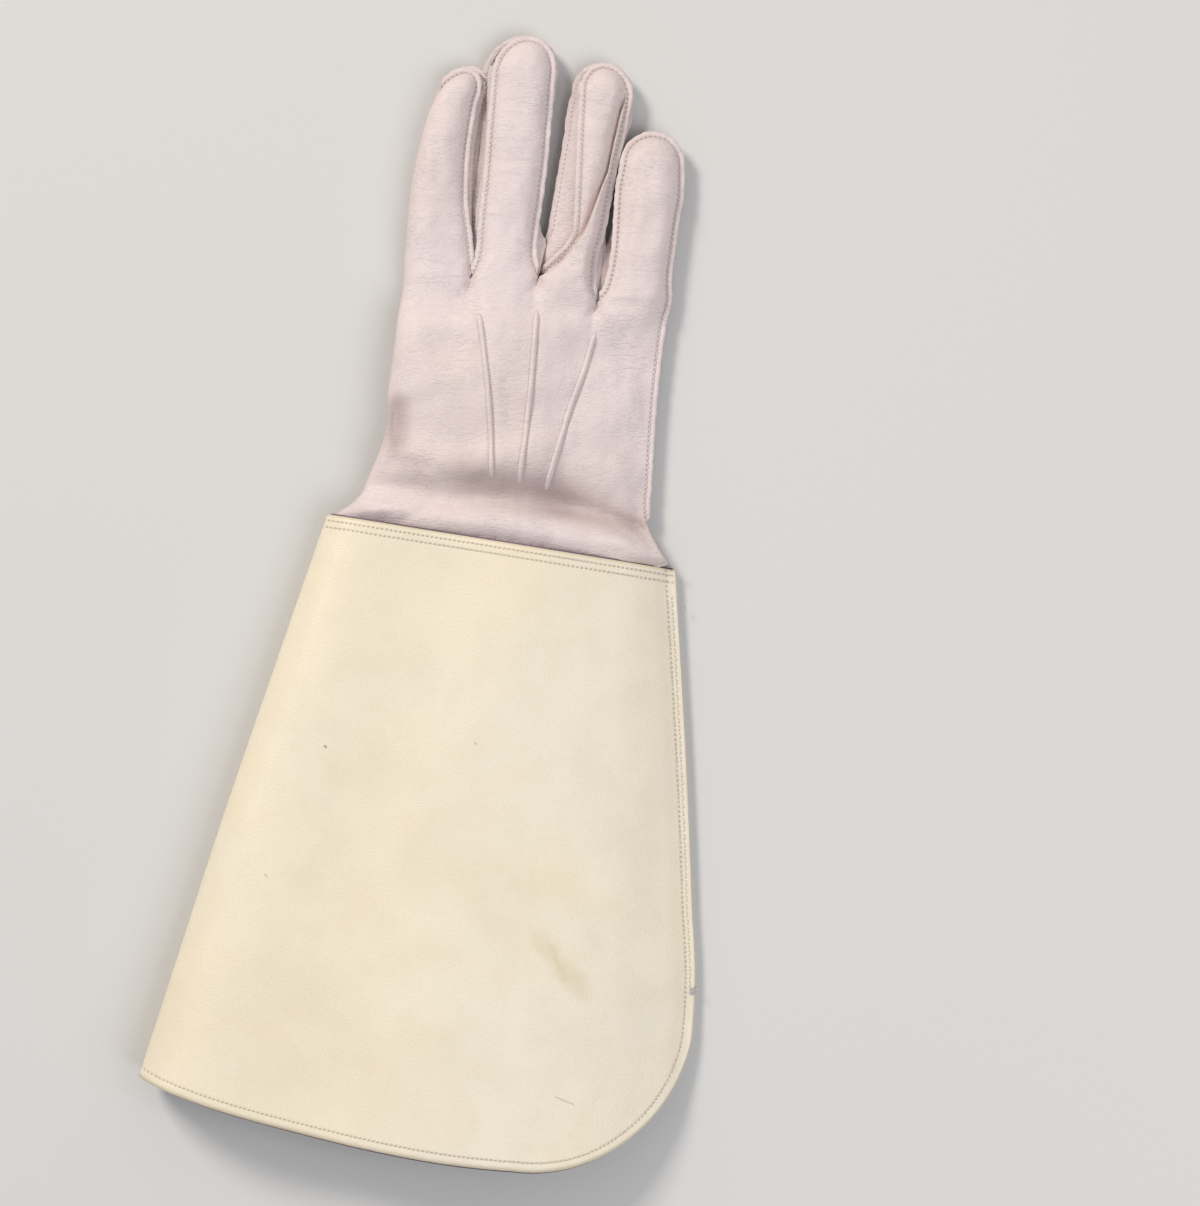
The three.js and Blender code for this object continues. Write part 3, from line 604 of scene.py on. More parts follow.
def waves(plan, seed, count=WAVES, height=WAVE_HEIGHT, lengths=(5.0, 22.0)):
    """Low swell: the sum of seeded sine waves of several lengths and directions."""
    chance = np.random.default_rng(seed)
    turn = chance.uniform(0, 2 * np.pi, count)
    length = np.exp(chance.uniform(np.log(lengths[0]), np.log(lengths[1]), count))
    shift = chance.uniform(0, 2 * np.pi, count)
    run = plan[..., :1] * np.cos(turn) + plan[..., 1:2] * np.sin(turn)
    return height * np.sum(np.sin(2 * np.pi * run / length + shift) * length / 8, axis=-1)


def line_distance(plan, start, end):
    """Distance of each point from a stretch of line, its share along it and which side it is on."""
    along = end - start
    offset = plan - start
    share = np.clip((offset @ along) / (along @ along), 0, 1)
    near = offset - share[..., None] * along
    side = along[0] * offset[..., 1] - along[1] * offset[..., 0]
    return np.linalg.norm(near, axis=-1), share, np.sign(side)


def creased(plan):
    """Height that the creases take away: depth * exp(-(distance / width)^2), fading at both ends."""
    total = np.zeros(plan.shape[:-1])
    for row in CREASES:
        start, end = from_photo(row[0:2]), from_photo(row[2:4])
        distance, share, _ = line_distance(plan, start, end)
        fade = 0.35 + 0.65 * step(share, 0, 0.2) * step(1 - share, 0, 0.2)
        total += row[4] * hump(distance, row[5]) * fade
    return total


def from_line(plan, corners):
    """Distance of each point from a bent line, its share along it, and +1 on its right side."""
    corners = from_photo(corners)
    found = [line_distance(plan, start, end) for start, end in zip(corners[:-1], corners[1:])]
    distance, share, side = (np.stack(part) for part in zip(*found))
    nearest = distance.argmin(axis=0)[None]
    distance, share, side = (np.take_along_axis(part, nearest, 0)[0] for part in (distance, share, side))
    return distance, (share + nearest[0]) / len(found), -side


def ring_fold(plan):
    """Long fold: at its left the leather swells a little, at its right it drops steeply and
    climbs back over a few millimetres."""
    distance, share, right = from_line(plan, RING_FOLD)
    drop = step(distance * right, -0.45, 0.45) * np.exp(-np.maximum(distance - 0.6, 0) / 3.0)
    ends = 0.45 + 0.55 * step(share, 0.0, 0.2)
    return RING_FOLD_DEPTH * drop * ends - 0.7 * hump(distance + 1.2, 2.4) * (right < 0)


def wrist_crease(plan):
    """Deep crease above the cuff. Its upper bank is steep, its lower bank is the long soft roll."""
    distance, share, right = from_line(plan, WRIST_CREASE)
    width = np.where(right < 0, WRIST_BANKS[0], WRIST_BANKS[1])
    depth = np.interp(share, *np.array(WRIST_DEPTHS).T)
    return depth * hump(distance, width)


def dents(plan):
    """Broad soft hollows and swellings: depth exp(-(dx / wide)^2 - (dy / high)^2)."""
    total = np.zeros(plan.shape[:-1])
    for x, y, depth, wide, high in DENTS:
        offset = plan - from_photo((x, y))
        total += depth * np.exp(-((offset[..., 0] / wide) ** 2) - (offset[..., 1] / high) ** 2)
    return total


# %% [markdown]
# Back and palm lanes are now computed, marked with their creases and given their raw edges.
# Both faces share the fold line on the index side, so the weld makes them one panel,
# and on the other side their two edges lie on each other, ready for the outer seam.

# %% Make the trank
OUTER_SEAM_END_ROW = 18
lane_shares = np.linspace(0, 1, COLUMNS + 1)
back_lanes, palm_lanes = [], []
for number in range(4):
    back, fork_row = lane(number, "back")
    palm, _ = lane(number, "palm")
    inside = np.ones(back.shape[:2])
    if number == 0:
        inside = step(lane_shares, 0.0, 0.12)[None, :] * inside
    if number == 3:
        inside = inside * step(1 - lane_shares, 0.0, 0.14)[None, :]
    folds = creased(back[..., :2]) + wrist_crease(back[..., :2]) + dents(back[..., :2])
    back[..., 2] -= (folds - waves(back[..., :2], 5)) * inside
    if number == 2:
        keep = step(np.arange(len(back)) - fork_row, -8, 2)[:, None]
        back[..., 2] -= ring_fold(back[..., :2]) * keep * step(1 - lane_shares, 0, 0.1)
    palm[..., 2] = np.maximum(palm[..., 2], 0.02)
    back_lanes.append(back)
    palm_lanes.append(palm)

FAR_FROM_SEAM = 9.0


def seam_places(grid, fork_row, sides, right_row=None):
    """Length run along the nearest seam line and distance from it, for every point of a lane.
    Where no seam runs the distance is far, so that its marks never show there."""
    gap = np.stack([np.linalg.norm(grid[..., :2] - grid[:, [edge], :2], axis=-1) for edge in (0, -1)])
    start = (fork_row - 1, fork_row - 1 if right_row is None else right_row)
    names = ("left", "right")
    for index, (edge, first) in enumerate(zip(names, start)):
        gap[index, :first] = FAR_FROM_SEAM
        if edge not in sides:
            gap[index] = FAR_FROM_SEAM
    run = np.stack([running(grid[:, edge, :2])[:, None] * np.ones(grid.shape[1]) for edge in (0, -1)])
    top = np.linalg.norm(grid[..., :2] - grid[-1:, :, :2], axis=-1)
    top_run = running(grid[-1, :, :2])[None] + run[0, -1, 0] + 0 * top
    distance = np.stack([gap[0], gap[1], top])
    nearest = distance.argmin(axis=0)[None]
    along = np.take_along_axis(np.stack([run[0], run[1], top_run]), nearest, 0)[0]
    return np.stack([along, distance.min(axis=0)], axis=-1)


def rim_places(rim):
    """The same pair for a raw edge, where the distance outside the seam is negative."""
    run = running(rim[0, :, :2])[None] + 0 * rim[..., 0]
    return np.stack([run, -np.linalg.norm(rim[..., :2] - rim[:1, :, :2], axis=-1)], axis=-1)


# Sewn edges of each finger, and the row that its outer seam reaches on the palm part
SEWN = [(("right",), None), (("left", "right"), None), (("left", "right"), None),
        (("left", "right"), OUTER_SEAM_END_ROW)]
rims, rim_maps, lane_maps = [], [], {"back": [], "palm": []}
for number, (sides, right_row) in enumerate(SEWN):
    for face, lanes, rise in (("back", back_lanes, 0.12), ("palm", palm_lanes, -0.05)):
        rims.append(rim_of(lanes[number], fork_row, sides, rise, right_row))
        rim_maps.append(rim_places(rims[-1]))
        lane_maps[face].append(seam_places(lanes[number], fork_row, sides, right_row))
panels = back_lanes + palm_lanes + rims
flipped = {4, 5, 6, 7} | {8 + index for index in (1, 3, 5, 7)}
seam_map = lane_maps["back"] + lane_maps["palm"] + rim_maps
crease_map = [np.stack([creased(grid[..., :2]), 0 * grid[..., 0]], axis=-1) for grid in back_lanes]
crease_map += [np.zeros(panel.shape[:2] + (2,)) for panel in panels[4:]]
trank = mesh_from_grids("trank", panels, flip=flipped, places={"seam": seam_map, "crease": crease_map})
thicken(trank, LEATHER)
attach(trank, "root")
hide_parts("hand")

# %% [markdown]
# The sides of the fingers are narrow folded strips, the fourchettes, one between each two fingers.
# Each has two walls that meet at the fork. A wall hangs from the back seam to the palm seam,
# swells a little outwards and ends in flat edges, which lie under the raw edges of the trank.
# Both walls run on over the fingertip to the middle of the cap, and their flat edges narrow there.

# %% Fourchettes
FOURCHETTE_WALL = 0.9
WALL_STEPS = 8
WALL_SWELL = 1.3
FLANGE = RIM - 0.15


def side_wall(back, palm, side):
    """Wall between the edge columns of a back lane and a palm lane; side is +1 for the right.
    A point goes from the back seam to the palm seam by w, pushed outwards by sin(pi w)."""
    outward = -left_of(directions(back[:, :2] + palm[:, :2], SMOOTHINGS)) * side
    length = running(back[:, :2])
    open_share = (step(length, 0, RIM_START) * step(length[-1] - length, -2, 8))[:, None]
    below = np.minimum(LEATHER + FOURCHETTE_WALL + 0.08, (back[:, 2:] - palm[:, 2:]) / 2 - 0.05)
    high, low = back[:, 2:] - below, palm[:, 2:] + below
    share = np.linspace(0, 1, WALL_STEPS + 1)[None, :, None]
    plan = back[:, None, :2] * (1 - share) + palm[:, None, :2] * share
    plan = plan + outward[:, None] * WALL_SWELL * np.sin(np.pi * share) * open_share[:, None]
    wall = np.concatenate([plan, high[:, None] * (1 - share) + low[:, None] * share], axis=2)
    reach = outward * FLANGE * open_share
    top_edge = np.hstack([back[:, :2] + reach, high + 0.05])[:, None]
    low_edge = np.hstack([palm[:, :2] + reach, low - 0.05])[:, None]
    return np.concatenate([top_edge, wall, low_edge], axis=1)


def wall_edge(grid, column):
    """Edge of a lane from its fork up, and on over the fingertip to the middle of the cap."""
    over = grid[-1, 1:COLUMNS // 2] if column == 0 else grid[-1, COLUMNS // 2 + 1:-1][::-1]
    return np.vstack([grid[fork_row - 1:, column], over])


FOURCHETTES = {"fourchette_index_middle": 0, "fourchette_middle_ring": 1, "fourchette_ring_little": 2}
fourchette_walls = []
for name, number in FOURCHETTES.items():
    before = side_wall(wall_edge(back_lanes[number], -1), wall_edge(palm_lanes[number], -1), 1)
    after = side_wall(wall_edge(back_lanes[number + 1], 0), wall_edge(palm_lanes[number + 1], 0), -1)
    fourchette_walls.append((before, after))
    strip = thicken(mesh_from_grids(name + "_strip", [before, after], flip={1}), FOURCHETTE_WALL)
    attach(strip, "root")
    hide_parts(name)

# %% [markdown]
# The thumb is a flattened pouch folded away under the palm. It is a ring of points carried
# along its middle line: each ring is a flat superellipse that narrows to a round tip.

# %% Thumb
THUMB_LINE = [(-27.2, 19.5), (-26.2, 45.0), (-23.6, 84.5)]
THUMB_WIDTH = 26.0
THUMB_HEIGHT = 7.2
THUMB_ROWS = 60
THUMB_COLUMNS = 48


def pouch(line, width, height, rows, columns):
    """Closed pouch: x goes with sgn(cos a)|cos a|^0.9, z with sgn(sin a)|sin a|^0.8, and both
    shrink at the two ends by (1 - |2s - 1|^n)^(1/n)."""
    share = (1 - np.cos(np.linspace(0, np.pi, rows))) / 2
    middle = path(line, 400)
    middle = sampled(middle, np.linspace(0, 1, 400), share)
    size = np.where(share < 0.5, 1 - np.abs(2 * share - 1) ** 9, 1 - np.abs(2 * share - 1) ** 3.4)
    size = np.maximum(size, 0) ** np.where(share < 0.5, 1 / 3, 1 / 2.2)
    size[0] = size[-1] = 0
    turn = np.linspace(0, 2 * np.pi, columns + 1)
    side = np.sign(np.cos(turn)) * np.abs(np.cos(turn)) ** 0.9
    up = np.sign(np.sin(turn)) * np.abs(np.sin(turn)) ** 0.8
    x = middle[:, :1] + side[None] * size[:, None] * width / 2
    y = middle[:, 1:] + 0 * side[None]
    z = height / 2 * (1 + up[None] * size[:, None] ** 0.7) + 0.1
    return np.dstack([x, y, z])


thumb_grid = pouch(THUMB_LINE, THUMB_WIDTH, THUMB_HEIGHT, THUMB_ROWS, THUMB_COLUMNS)
thumb_grid[..., 2] += waves(thumb_grid[..., :2], 11) * 0.6
thumb_grid[..., 2] = np.clip(thumb_grid[..., 2], 0.05, THUMB_HEIGHT + 0.3)
thumb_grid[:, -1] = thumb_grid[:, 0]
thumb_pouch = thicken(mesh_from_grids("thumb_pouch", [thumb_grid], flip={0}), LEATHER)
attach(thumb_pouch, "root")
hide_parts("thumb")

# %% [markdown]
# Cuff and lining are the same two-faced sheet at two depths. The lining shows a hair's breadth
# of lilac past the cream at the hem and at the top edge, as backed leather does where it is cut.
# Its lilac is darkened with painted shade for the shadow in the gap at those edges.

# %% Make the cuff and its lining
def cuff_places(face):
    """Two pairs for every point: length and distance from the top edge, and from the hem line."""
    grid = cuff_sheet(face)
    across, end = hem_line(HEM_COLUMNS, CORNER_COLUMNS)
    rows = np.linspace(1, 0, CUFF_ROWS)[:, None]
    top = np.stack([running(grid[-1, :, :2])[None] + 0 * grid[..., 0], rows * end[None]], axis=-1)
    edge = np.concatenate([grid[0], grid[1:, -1]])[:, :2]
    run = running(edge)
    apart = np.linalg.norm(grid[:, :, None, :2] - edge[None, None], axis=-1)
    return top, np.stack([run[apart.argmin(axis=-1)], apart.min(axis=-1)], axis=-1)


cuff_faces = [cuff_sheet("top"), cuff_sheet("under")]
cuff_maps = [cuff_places("top"), cuff_places("under")]
cuff_outer = mesh_from_grids(
    "cuff_leather_sheet", cuff_faces, flip={1},
    places={"top_edge": [pair[0] for pair in cuff_maps], "hem": [pair[1] for pair in cuff_maps]},
)
thicken(cuff_outer, CUFF_WALL)
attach(cuff_outer, "root")
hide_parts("cuff_outer")

lining_depth = CUFF_WALL + SHEET_GAP
lining_faces = [cuff_sheet(face, lining_depth, LINING_SHOWS, margin=1.0) for face in ("top", "under")]
cuff_lining = thicken(mesh_from_grids("cuff_lining_sheet", lining_faces, flip={1}), LINING_WALL)
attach(cuff_lining, "root")
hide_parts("cuff_lining")

# %% [markdown]
# Three narrow tucks run down the back of the hand, as on every dress glove of this kind.
# Each is a low ridge that follows the leather below it. The height of that leather is found
# by casting a ray straight down on the finished trank from the ridge's two feet and its middle.

# %% Points of the back
POINT_LINES = [
    [(479.5, 314), (484, 350), (488.4, 390), (491, 432), (492, 478)],
    [(537, 310), (534, 352), (530.5, 393), (525, 440), (519, 483)],
    [(595, 332), (584, 370), (570, 408), (558, 449), (545.5, 490)],
]
POINT_HALF = 1.15
POINT_RISE = 1.4
POINT_ROWS = 90
POINT_COLUMNS = 10


def tree_of(piece):
    """Search tree over a piece's faces, for rays."""
    work = bmesh.new()
    work.from_mesh(piece.data)
    tree = BVHTree.FromBMesh(work)
    work.free()
    return tree


def height_on(tree, plan):
    """Height in millimetres of the highest surface under each plan place."""
    flat = np.concatenate([plan[..., :2], np.full(plan.shape[:-1] + (1,), 90.0)], axis=-1).reshape(-1, 3)
    hits = [tree.ray_cast(Vector(start), Vector((0, 0, -1)))[0] for start in to_frame(flat)]
    return np.array([hit.z / MM if hit else 0.0 for hit in hits]).reshape(plan.shape[:-1])


def ridge(tree, line, half, rise, rows, columns):
    """Low ridge on a surface: rise sqrt(1 - a^2) across it, tapering to nothing at both ends."""
    middle = path(from_photo(line), rows)
    side = -left_of(directions(middle))
    share = np.linspace(0, 1, rows)
    taper = np.sqrt(step(share, -0.01, 0.06) * step(1 - share, -0.01, 0.10))
    across = np.linspace(-1, 1, columns + 1)
    plan = middle[:, None] + side[:, None] * (across[None] * half * taper[:, None] ** 0.6)[..., None]
    feet = height_on(tree, plan[:, [0, columns]])
    base = feet[:, :1] + (feet[:, 1:] - feet[:, :1]) * (across[None] + 1) / 2
    base = np.maximum(base, height_on(tree, middle)[:, None] - 0.1)
    lift = rise * taper[:, None] * (1 - across[None] ** 2) ** 0.6 - 0.12
    return np.dstack([plan, base + lift])


trank_tree = tree_of(trank)
point_grids = [ridge(trank_tree, line, POINT_HALF, POINT_RISE, POINT_ROWS, POINT_COLUMNS)
               for line in POINT_LINES]
back_points = thicken(mesh_from_grids("back_points", point_grids), 0.3)
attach(back_points, "root")

# %% [markdown]
# Every stitch is its own little capsule of thread, arched so that both ends dive into the leather.
# One template is copied along a row by numpy: the row gives each copy its place and direction,
# and a seeded draw turns and shifts it by a hair, because a hand guided the machine.

# %% Stitch maker
STITCH_RINGS = 6
STITCH_SIDES = 8
SEAM_PITCH = 1.85
CUFF_PITCH = 1.75
# A stitch aims between two places this far before and behind it; the draw's spread is in degrees
# for its turn and in millimetres for its shift
AIM_REACH = 0.4
STITCH_TURN = 4.0
STITCH_SHIFT = 0.05


def stitch_template():
    """Capsule of unit half length and radius: rings along x with radius sqrt(1 - x^4)."""
    x = np.sin(np.linspace(-np.pi / 2, np.pi / 2, STITCH_RINGS + 1))
    turn = np.linspace(0, 2 * np.pi, STITCH_SIDES, endpoint=False)
    size = np.sqrt(np.maximum(1 - x**4, 0.02))
    x, size = x[:, None], size[:, None]
    points = np.stack([x + 0 * turn, size * np.cos(turn), size * np.sin(turn)], axis=-1)
    number = np.arange((STITCH_RINGS + 1) * STITCH_SIDES).reshape(STITCH_RINGS + 1, STITCH_SIDES)
    after = np.roll(number, -1, axis=1)
    quads = np.stack([number[:-1], number[1:], after[1:], after[:-1]], axis=-1).reshape(-1, 4)
    ends = [number[0].tolist(), number[-1][::-1].tolist()]
    return points.reshape(-1, 3), quads, ends


def stitched(name, rows, seed):
    """One mesh with all stitches of some rows. A row is a line of 3-D points, with the pitch,
    length and radius of its stitches and the turn of each stitch out of the row in degrees."""
    chance = np.random.default_rng(seed)
    template, quads, ends = stitch_template()
    points, faces, start = [], [], 0
    for line, pitch, length, radius, slant in rows:
        run = running(line)
        at = np.arange(0.5, run[-1] / pitch) * pitch
        count = len(at)
        middle = sampled(line, run, at)
        ahead = sampled(line, run, at + AIM_REACH) - sampled(line, run, at - AIM_REACH)
        ahead /= np.linalg.norm(ahead, axis=1)[:, None]
        side = np.cross([0, 0, 1.0], ahead)
        side /= np.linalg.norm(side, axis=1)[:, None]
        turn = np.radians(slant * (-1.0) ** np.arange(count) if slant < 0 else slant)
        turn = (turn + np.radians(chance.normal(0, STITCH_TURN, count)))[:, None]
        ahead, side = ahead * np.cos(turn) + side * np.sin(turn), side * np.cos(turn) - ahead * np.sin(turn)
        up = np.cross(ahead, side)
        middle = middle + side * chance.normal(0, STITCH_SHIFT, count)[:, None]
        x, y, z = template.T
        arch = radius * (0.55 - 1.1 * x**2)
        copy = middle[:, None] + ahead[:, None] * (x * length / 2)[None, :, None]
        copy = copy + side[:, None] * (y * radius)[None, :, None]
        copy = copy + up[:, None] * (z * radius * 0.8 + arch)[None, :, None]
        points.append(copy.reshape(-1, 3))
        offset = start + np.arange(count)[:, None, None] * len(template)
        faces += (quads[None] + offset).reshape(-1, 4).tolist()
        faces += (np.array(ends)[None] + offset).reshape(-1, STITCH_SIDES).tolist()
        start += count * len(template)
    mesh = bpy.data.meshes.new(name)
    points = np.vstack(points)
    points[:, 2] = np.maximum(points[:, 2], 0.0)
    mesh.from_pydata(to_frame(points).tolist(), [], faces)
    mesh.shade_smooth()
    piece = linked(name, mesh)
    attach(piece, "root")
    print(name, len(rows), "rows,", len(mesh.polygons), "faces")
    return piece


# %% [markdown]
# Prick seams run up one side of each finger, over the tip and down the other side.
# The stitch line is the edge of a lane, so its points are read straight from the grid.
# Where a fourchette shows beside a back panel, its own row of stitches runs on the flat edge,
# and each point of the back has a row of tiny stitches along its right foot.

# %% Stitches of the hand
# Pitch, stitch length, thread radius and slant of a row
SEAM_ROW = (SEAM_PITCH, 1.35, 0.24, 0)
POINT_ROW = (1.25, 0.8, 0.14, 0)


def seam_line(grid, sides, fork_row, right_row=None):
    """The sewn edge of a lane as one line, up the left side, over the cap and down the right."""
    first = fork_row if right_row is None else right_row
    parts = [grid[fork_row:, 0]] if "left" in sides else []
    parts += [grid[-1, 1:-1]] + [grid[first:, -1][::-1]]
    return np.vstack(parts)


hand_rows = []
for number, (sides, right_row) in enumerate(SEWN):
    for lanes, lift in ((back_lanes, 0.1), (palm_lanes, -0.1)):
        line = seam_line(lanes[number], sides, fork_row, right_row)
        hand_rows.append((line + [0, 0, lift], *SEAM_ROW))
for walls in fourchette_walls:
    for wall in walls:
        flange = (wall[4:-COLUMNS // 2, -2] + wall[4:-COLUMNS // 2, -1] * 0.15) / 1.15
        hand_rows.append((flange + [0, 0, 0.1], *SEAM_ROW))
for grid in point_grids:
    foot = grid[4:-5, 0, :2] * 1.18 - grid[4:-5, -1, :2] * 0.18
    foot = np.column_stack([foot, height_on(trank_tree, foot)])
    hand_rows.append((foot, *POINT_ROW))
hand_stitches = stitched("hand_stitches", hand_rows, 31)

# %% [markdown]
# Two rows, 2.6 mm apart, hold the cuff's top edge; one row follows the hem and climbs the seamed edge,
# and a second, zigzag row doubles it above the bar tack. Each row is a line at a chosen distance
# from an edge, worked out with the cuff's own formulas and laid on its surface.

# %% Stitches of the cuff
TOP_ROWS = (2.3, 4.9)
HEM_ROW = 3.6
SIDE_ROW = 2.0
TACK_SHIFTS = (-1.3, -0.9, -0.5, -0.1, 0.3, 0.7, 1.1)
# Pitch, stitch length, thread radius and slant of a row
CUFF_ROW = (CUFF_PITCH, 1.2, 0.2, 14)
ZIGZAG_ROW = (1.5, 1.5, 0.2, -32)
TACK_ROW = (2.4, 2.6, 0.2, 3)
LINE_POINTS = 500
HEM_SMOOTHINGS = 8
# The bar tack's place in the photograph; the zigzag row stops a little above it
TACK_PIXEL = (694.4, 993)
ZIGZAG_END_PIXEL = (695, 990)


def on_cuff(plan, face):
    """Plan places put on the cuff's surface, found with a ray from above or set on its underside."""
    height = height_on(cuff_tree, plan) if face == "top" else np.zeros(plan.shape[:-1])
    return np.dstack([plan[None], height[None]])[0]


def inset_hem(distance):
    """Line inside the hem, round the corner and up the seamed edge to the top."""
    edge = np.concatenate([cuff_faces[0][0], cuff_faces[0][1:, -1]])[:, :2]
    run = running(edge)
    line = sampled(edge, run, np.linspace(0, run[-1], LINE_POINTS))
    return line + left_of(directions(line, HEM_SMOOTHINGS)) * distance


cuff_tree = tree_of(cuff_outer)
cuff_rows = []
shares = np.linspace(0.012, 0.985, LINE_POINTS)
for distance in TOP_ROWS:
    for face in ("top", "under"):
        plan = cuff_plan(shares, np.full(LINE_POINTS, distance))
        cuff_rows.append((on_cuff(plan, face), *CUFF_ROW))
hem_row = inset_hem(HEM_ROW)[8:-14]
for face in ("top", "under"):
    cuff_rows.append((on_cuff(hem_row, face), *CUFF_ROW))
side_row = inset_hem(SIDE_ROW)
above_tack = side_row[side_row[:, 1] > from_photo(ZIGZAG_END_PIXEL)[1]]
above_tack = above_tack[above_tack[:, 0] > 0][:-12]
cuff_rows.append((on_cuff(above_tack, "top"), *ZIGZAG_ROW))
tack_at = from_photo(TACK_PIXEL)
for shift in TACK_SHIFTS:
    bar = np.column_stack([np.linspace(-1.9, 0.6, 8) + tack_at[0], np.full(8, shift + tack_at[1])])
    cuff_rows.append((on_cuff(bar, "top") + [0, 0, 0.15], *TACK_ROW))
cuff_stitches = stitched("cuff_stitches", cuff_rows, 32)

# %% [markdown]
# A few thread ends were never snipped close: they stand a few millimetres out of the seams.
# Each is a thin tube along a short curve, with a ring of points round every place on the curve.

# %% Thread ends
LOOSE_THREADS = {
    "corner": [(676, 568, 4.6), (678.5, 570.5, 5.2), (680, 575, 4.6), (678, 579, 3.4)],
    "side": [(681, 603, 4.6), (684.5, 604.5, 5.0), (686, 608.5, 4.0), (685, 612, 2.8)],
    "tack": [(695, 992, 4.8), (698.5, 991, 5.4), (701, 994, 4.6), (700, 998.5, 3.2)],
    "fork": [(593, 247, 13.4), (596, 250, 14.4), (599, 252.5, 13.6), (601, 257, 12.2)],
}
LOOSE_RADIUS = 0.13


def tube(line, radius, rows=18, sides=7):
    """Tube along a smooth curve, its radius shrinking to nothing at both ends."""
    middle = path(line, rows)
    ahead = directions(middle)
    side = np.cross(ahead, [0.3, 0.2, 1.0])
    side /= np.linalg.norm(side, axis=1)[:, None]
    up = np.cross(side, ahead)
    turn = np.linspace(0, 2 * np.pi, sides + 1)
    share = np.linspace(0, 1, rows)
    size = radius * np.sqrt(np.clip(1 - np.abs(2 * share - 1) ** 12, 0, 1))[:, None, None]
    ring = side[:, None] * np.cos(turn)[None, :, None] + up[:, None] * np.sin(turn)[None, :, None]
    grid = middle[:, None] + ring * size
    grid[:, -1] = grid[:, 0]
    return grid


loose = []
for line in LOOSE_THREADS.values():
    places = np.array(line)
    loose.append(tube(np.column_stack([from_photo(places[:, :2]), places[:, 2]]), LOOSE_RADIUS))
loose_threads = mesh_from_grids("loose_threads", loose, weld=0.002)
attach(loose_threads, "root")

# %% [markdown]
# All looks come from nodes. Small builders keep the material code short: one adds a node and fills
# its sockets with numbers or links, and the others add one kind of node or a step made of two.
# What several materials share is a node group that gives back only numbers.

# %% Node builders
def add(tree, kind, inputs=None, **settings):
    """Adds a node; inputs maps a socket's name or number to a value or to an output to link."""
    item = tree.nodes.new(kind)
    for key, value in settings.items():
        setattr(item, key, value)
    for key, value in (inputs or {}).items():
        if isinstance(value, bpy.types.NodeSocket):
            tree.links.new(value, item.inputs[key])
        else:
            item.inputs[key].default_value = value
    return item


def calc(tree, operation, first, second=0.0, third=0.0, clamp=False):
    """Output of one Math node."""
    inputs = {0: first, 1: second, 2: third}
    return add(tree, "ShaderNodeMath", inputs, operation=operation, use_clamp=clamp).outputs[0]


def vector(tree, operation, inputs, output=0):
    """Output of one Vector Math node."""
    return add(tree, "ShaderNodeVectorMath", inputs, operation=operation).outputs[output]


def ramp(tree, value, low, high):
    """0 below low, 1 above high, soft between; low may be the larger, which turns it round."""
    inputs = {"Value": value, "From Min": low, "From Max": high}
    return add(tree, "ShaderNodeMapRange", inputs, interpolation_type="SMOOTHSTEP").outputs["Result"]


def mixed(tree, factor, first, second):
    """Output of a colour Mix node."""
    return add(tree, "ShaderNodeMix", {0: factor, 6: first, 7: second}, data_type="RGBA").outputs[2]


def tinted(tree, colour, over, mark, strength):
    """Colour with another laid over it where a mark says so, by mark times strength."""
    return mixed(tree, calc(tree, "MULTIPLY", mark, strength), colour, over)


def sunk(tree, height, mark, depth):
    """Height lowered where a mark says so, by mark times depth."""
    return calc(tree, "SUBTRACT", height, calc(tree, "MULTIPLY", mark, depth))


def object_place(tree):
    """Place on the object in metres."""
    return add(tree, "ShaderNodeTexCoord").outputs["Object"]


def map_place(tree, name):
    """The two numbers of a UV map as X and Y."""
    uv = add(tree, "ShaderNodeUVMap", uv_map=name).outputs[0]
    return add(tree, "ShaderNodeSeparateXYZ", {0: uv}).outputs


def finished(tree, shader, colour, rough, height, strength, distance):
    """Links colour, roughness and bump to the shader; the distance is in metres."""
    bump = add(tree, "ShaderNodeBump", {"Height": height, "Strength": strength, "Distance": distance})
    for key, output in (("Base Color", colour), ("Roughness", rough), ("Normal", bump.outputs[0])):
        tree.links.new(output, shader.inputs[key])


def group_of(name, inputs, outputs):
    """Empty node group with float or vector inputs and float outputs, and its two end nodes."""
    tree = bpy.data.node_groups.new(name, "ShaderNodeTree")
    for key in inputs:
        kind = "NodeSocketVector" if key == "Vector" else "NodeSocketFloat"
        tree.interface.new_socket(name=key, in_out="INPUT", socket_type=kind)
    for key in outputs:
        tree.interface.new_socket(name=key, in_out="OUTPUT", socket_type="NodeSocketFloat")
    return tree, add(tree, "NodeGroupInput").outputs, add(tree, "NodeGroupOutput").inputs


def use_group(tree, group, inputs):
    """Node that runs a group."""
    return add(tree, "ShaderNodeGroup", inputs, node_tree=group).outputs


# %% [markdown]
# Where a needle went through, the leather shows a small hole, and the pull of the thread
# presses a shallow groove; painted shade darkens both. Both come from the texture places in the
# UV maps: the length run along an edge and the distance from it, in millimetres.
# A hole is a small disc at every whole number of stitches; the groove is a band round the row.

# %% Shared node groups
marks, gets, gives = group_of("stitch_marks", ["Along", "Away", "Row", "Pitch"], ["Groove", "Hole"])
off_row = calc(marks, "ABSOLUTE", calc(marks, "SUBTRACT", gets["Away"], gets["Row"]))
whole = calc(marks, "DIVIDE", gets["Along"], gets["Pitch"])
off_hole = calc(marks, "MULTIPLY", calc(marks, "PINGPONG", whole, 0.5), gets["Pitch"])
squares = [calc(marks, "POWER", off, 2.0) for off in (off_row, off_hole)]
reach = calc(marks, "SQRT", calc(marks, "ADD", *squares))
marks.links.new(ramp(marks, off_row, 0.95, 0.0), gives["Groove"])
marks.links.new(ramp(marks, reach, 0.55, 0.22), gives["Hole"])

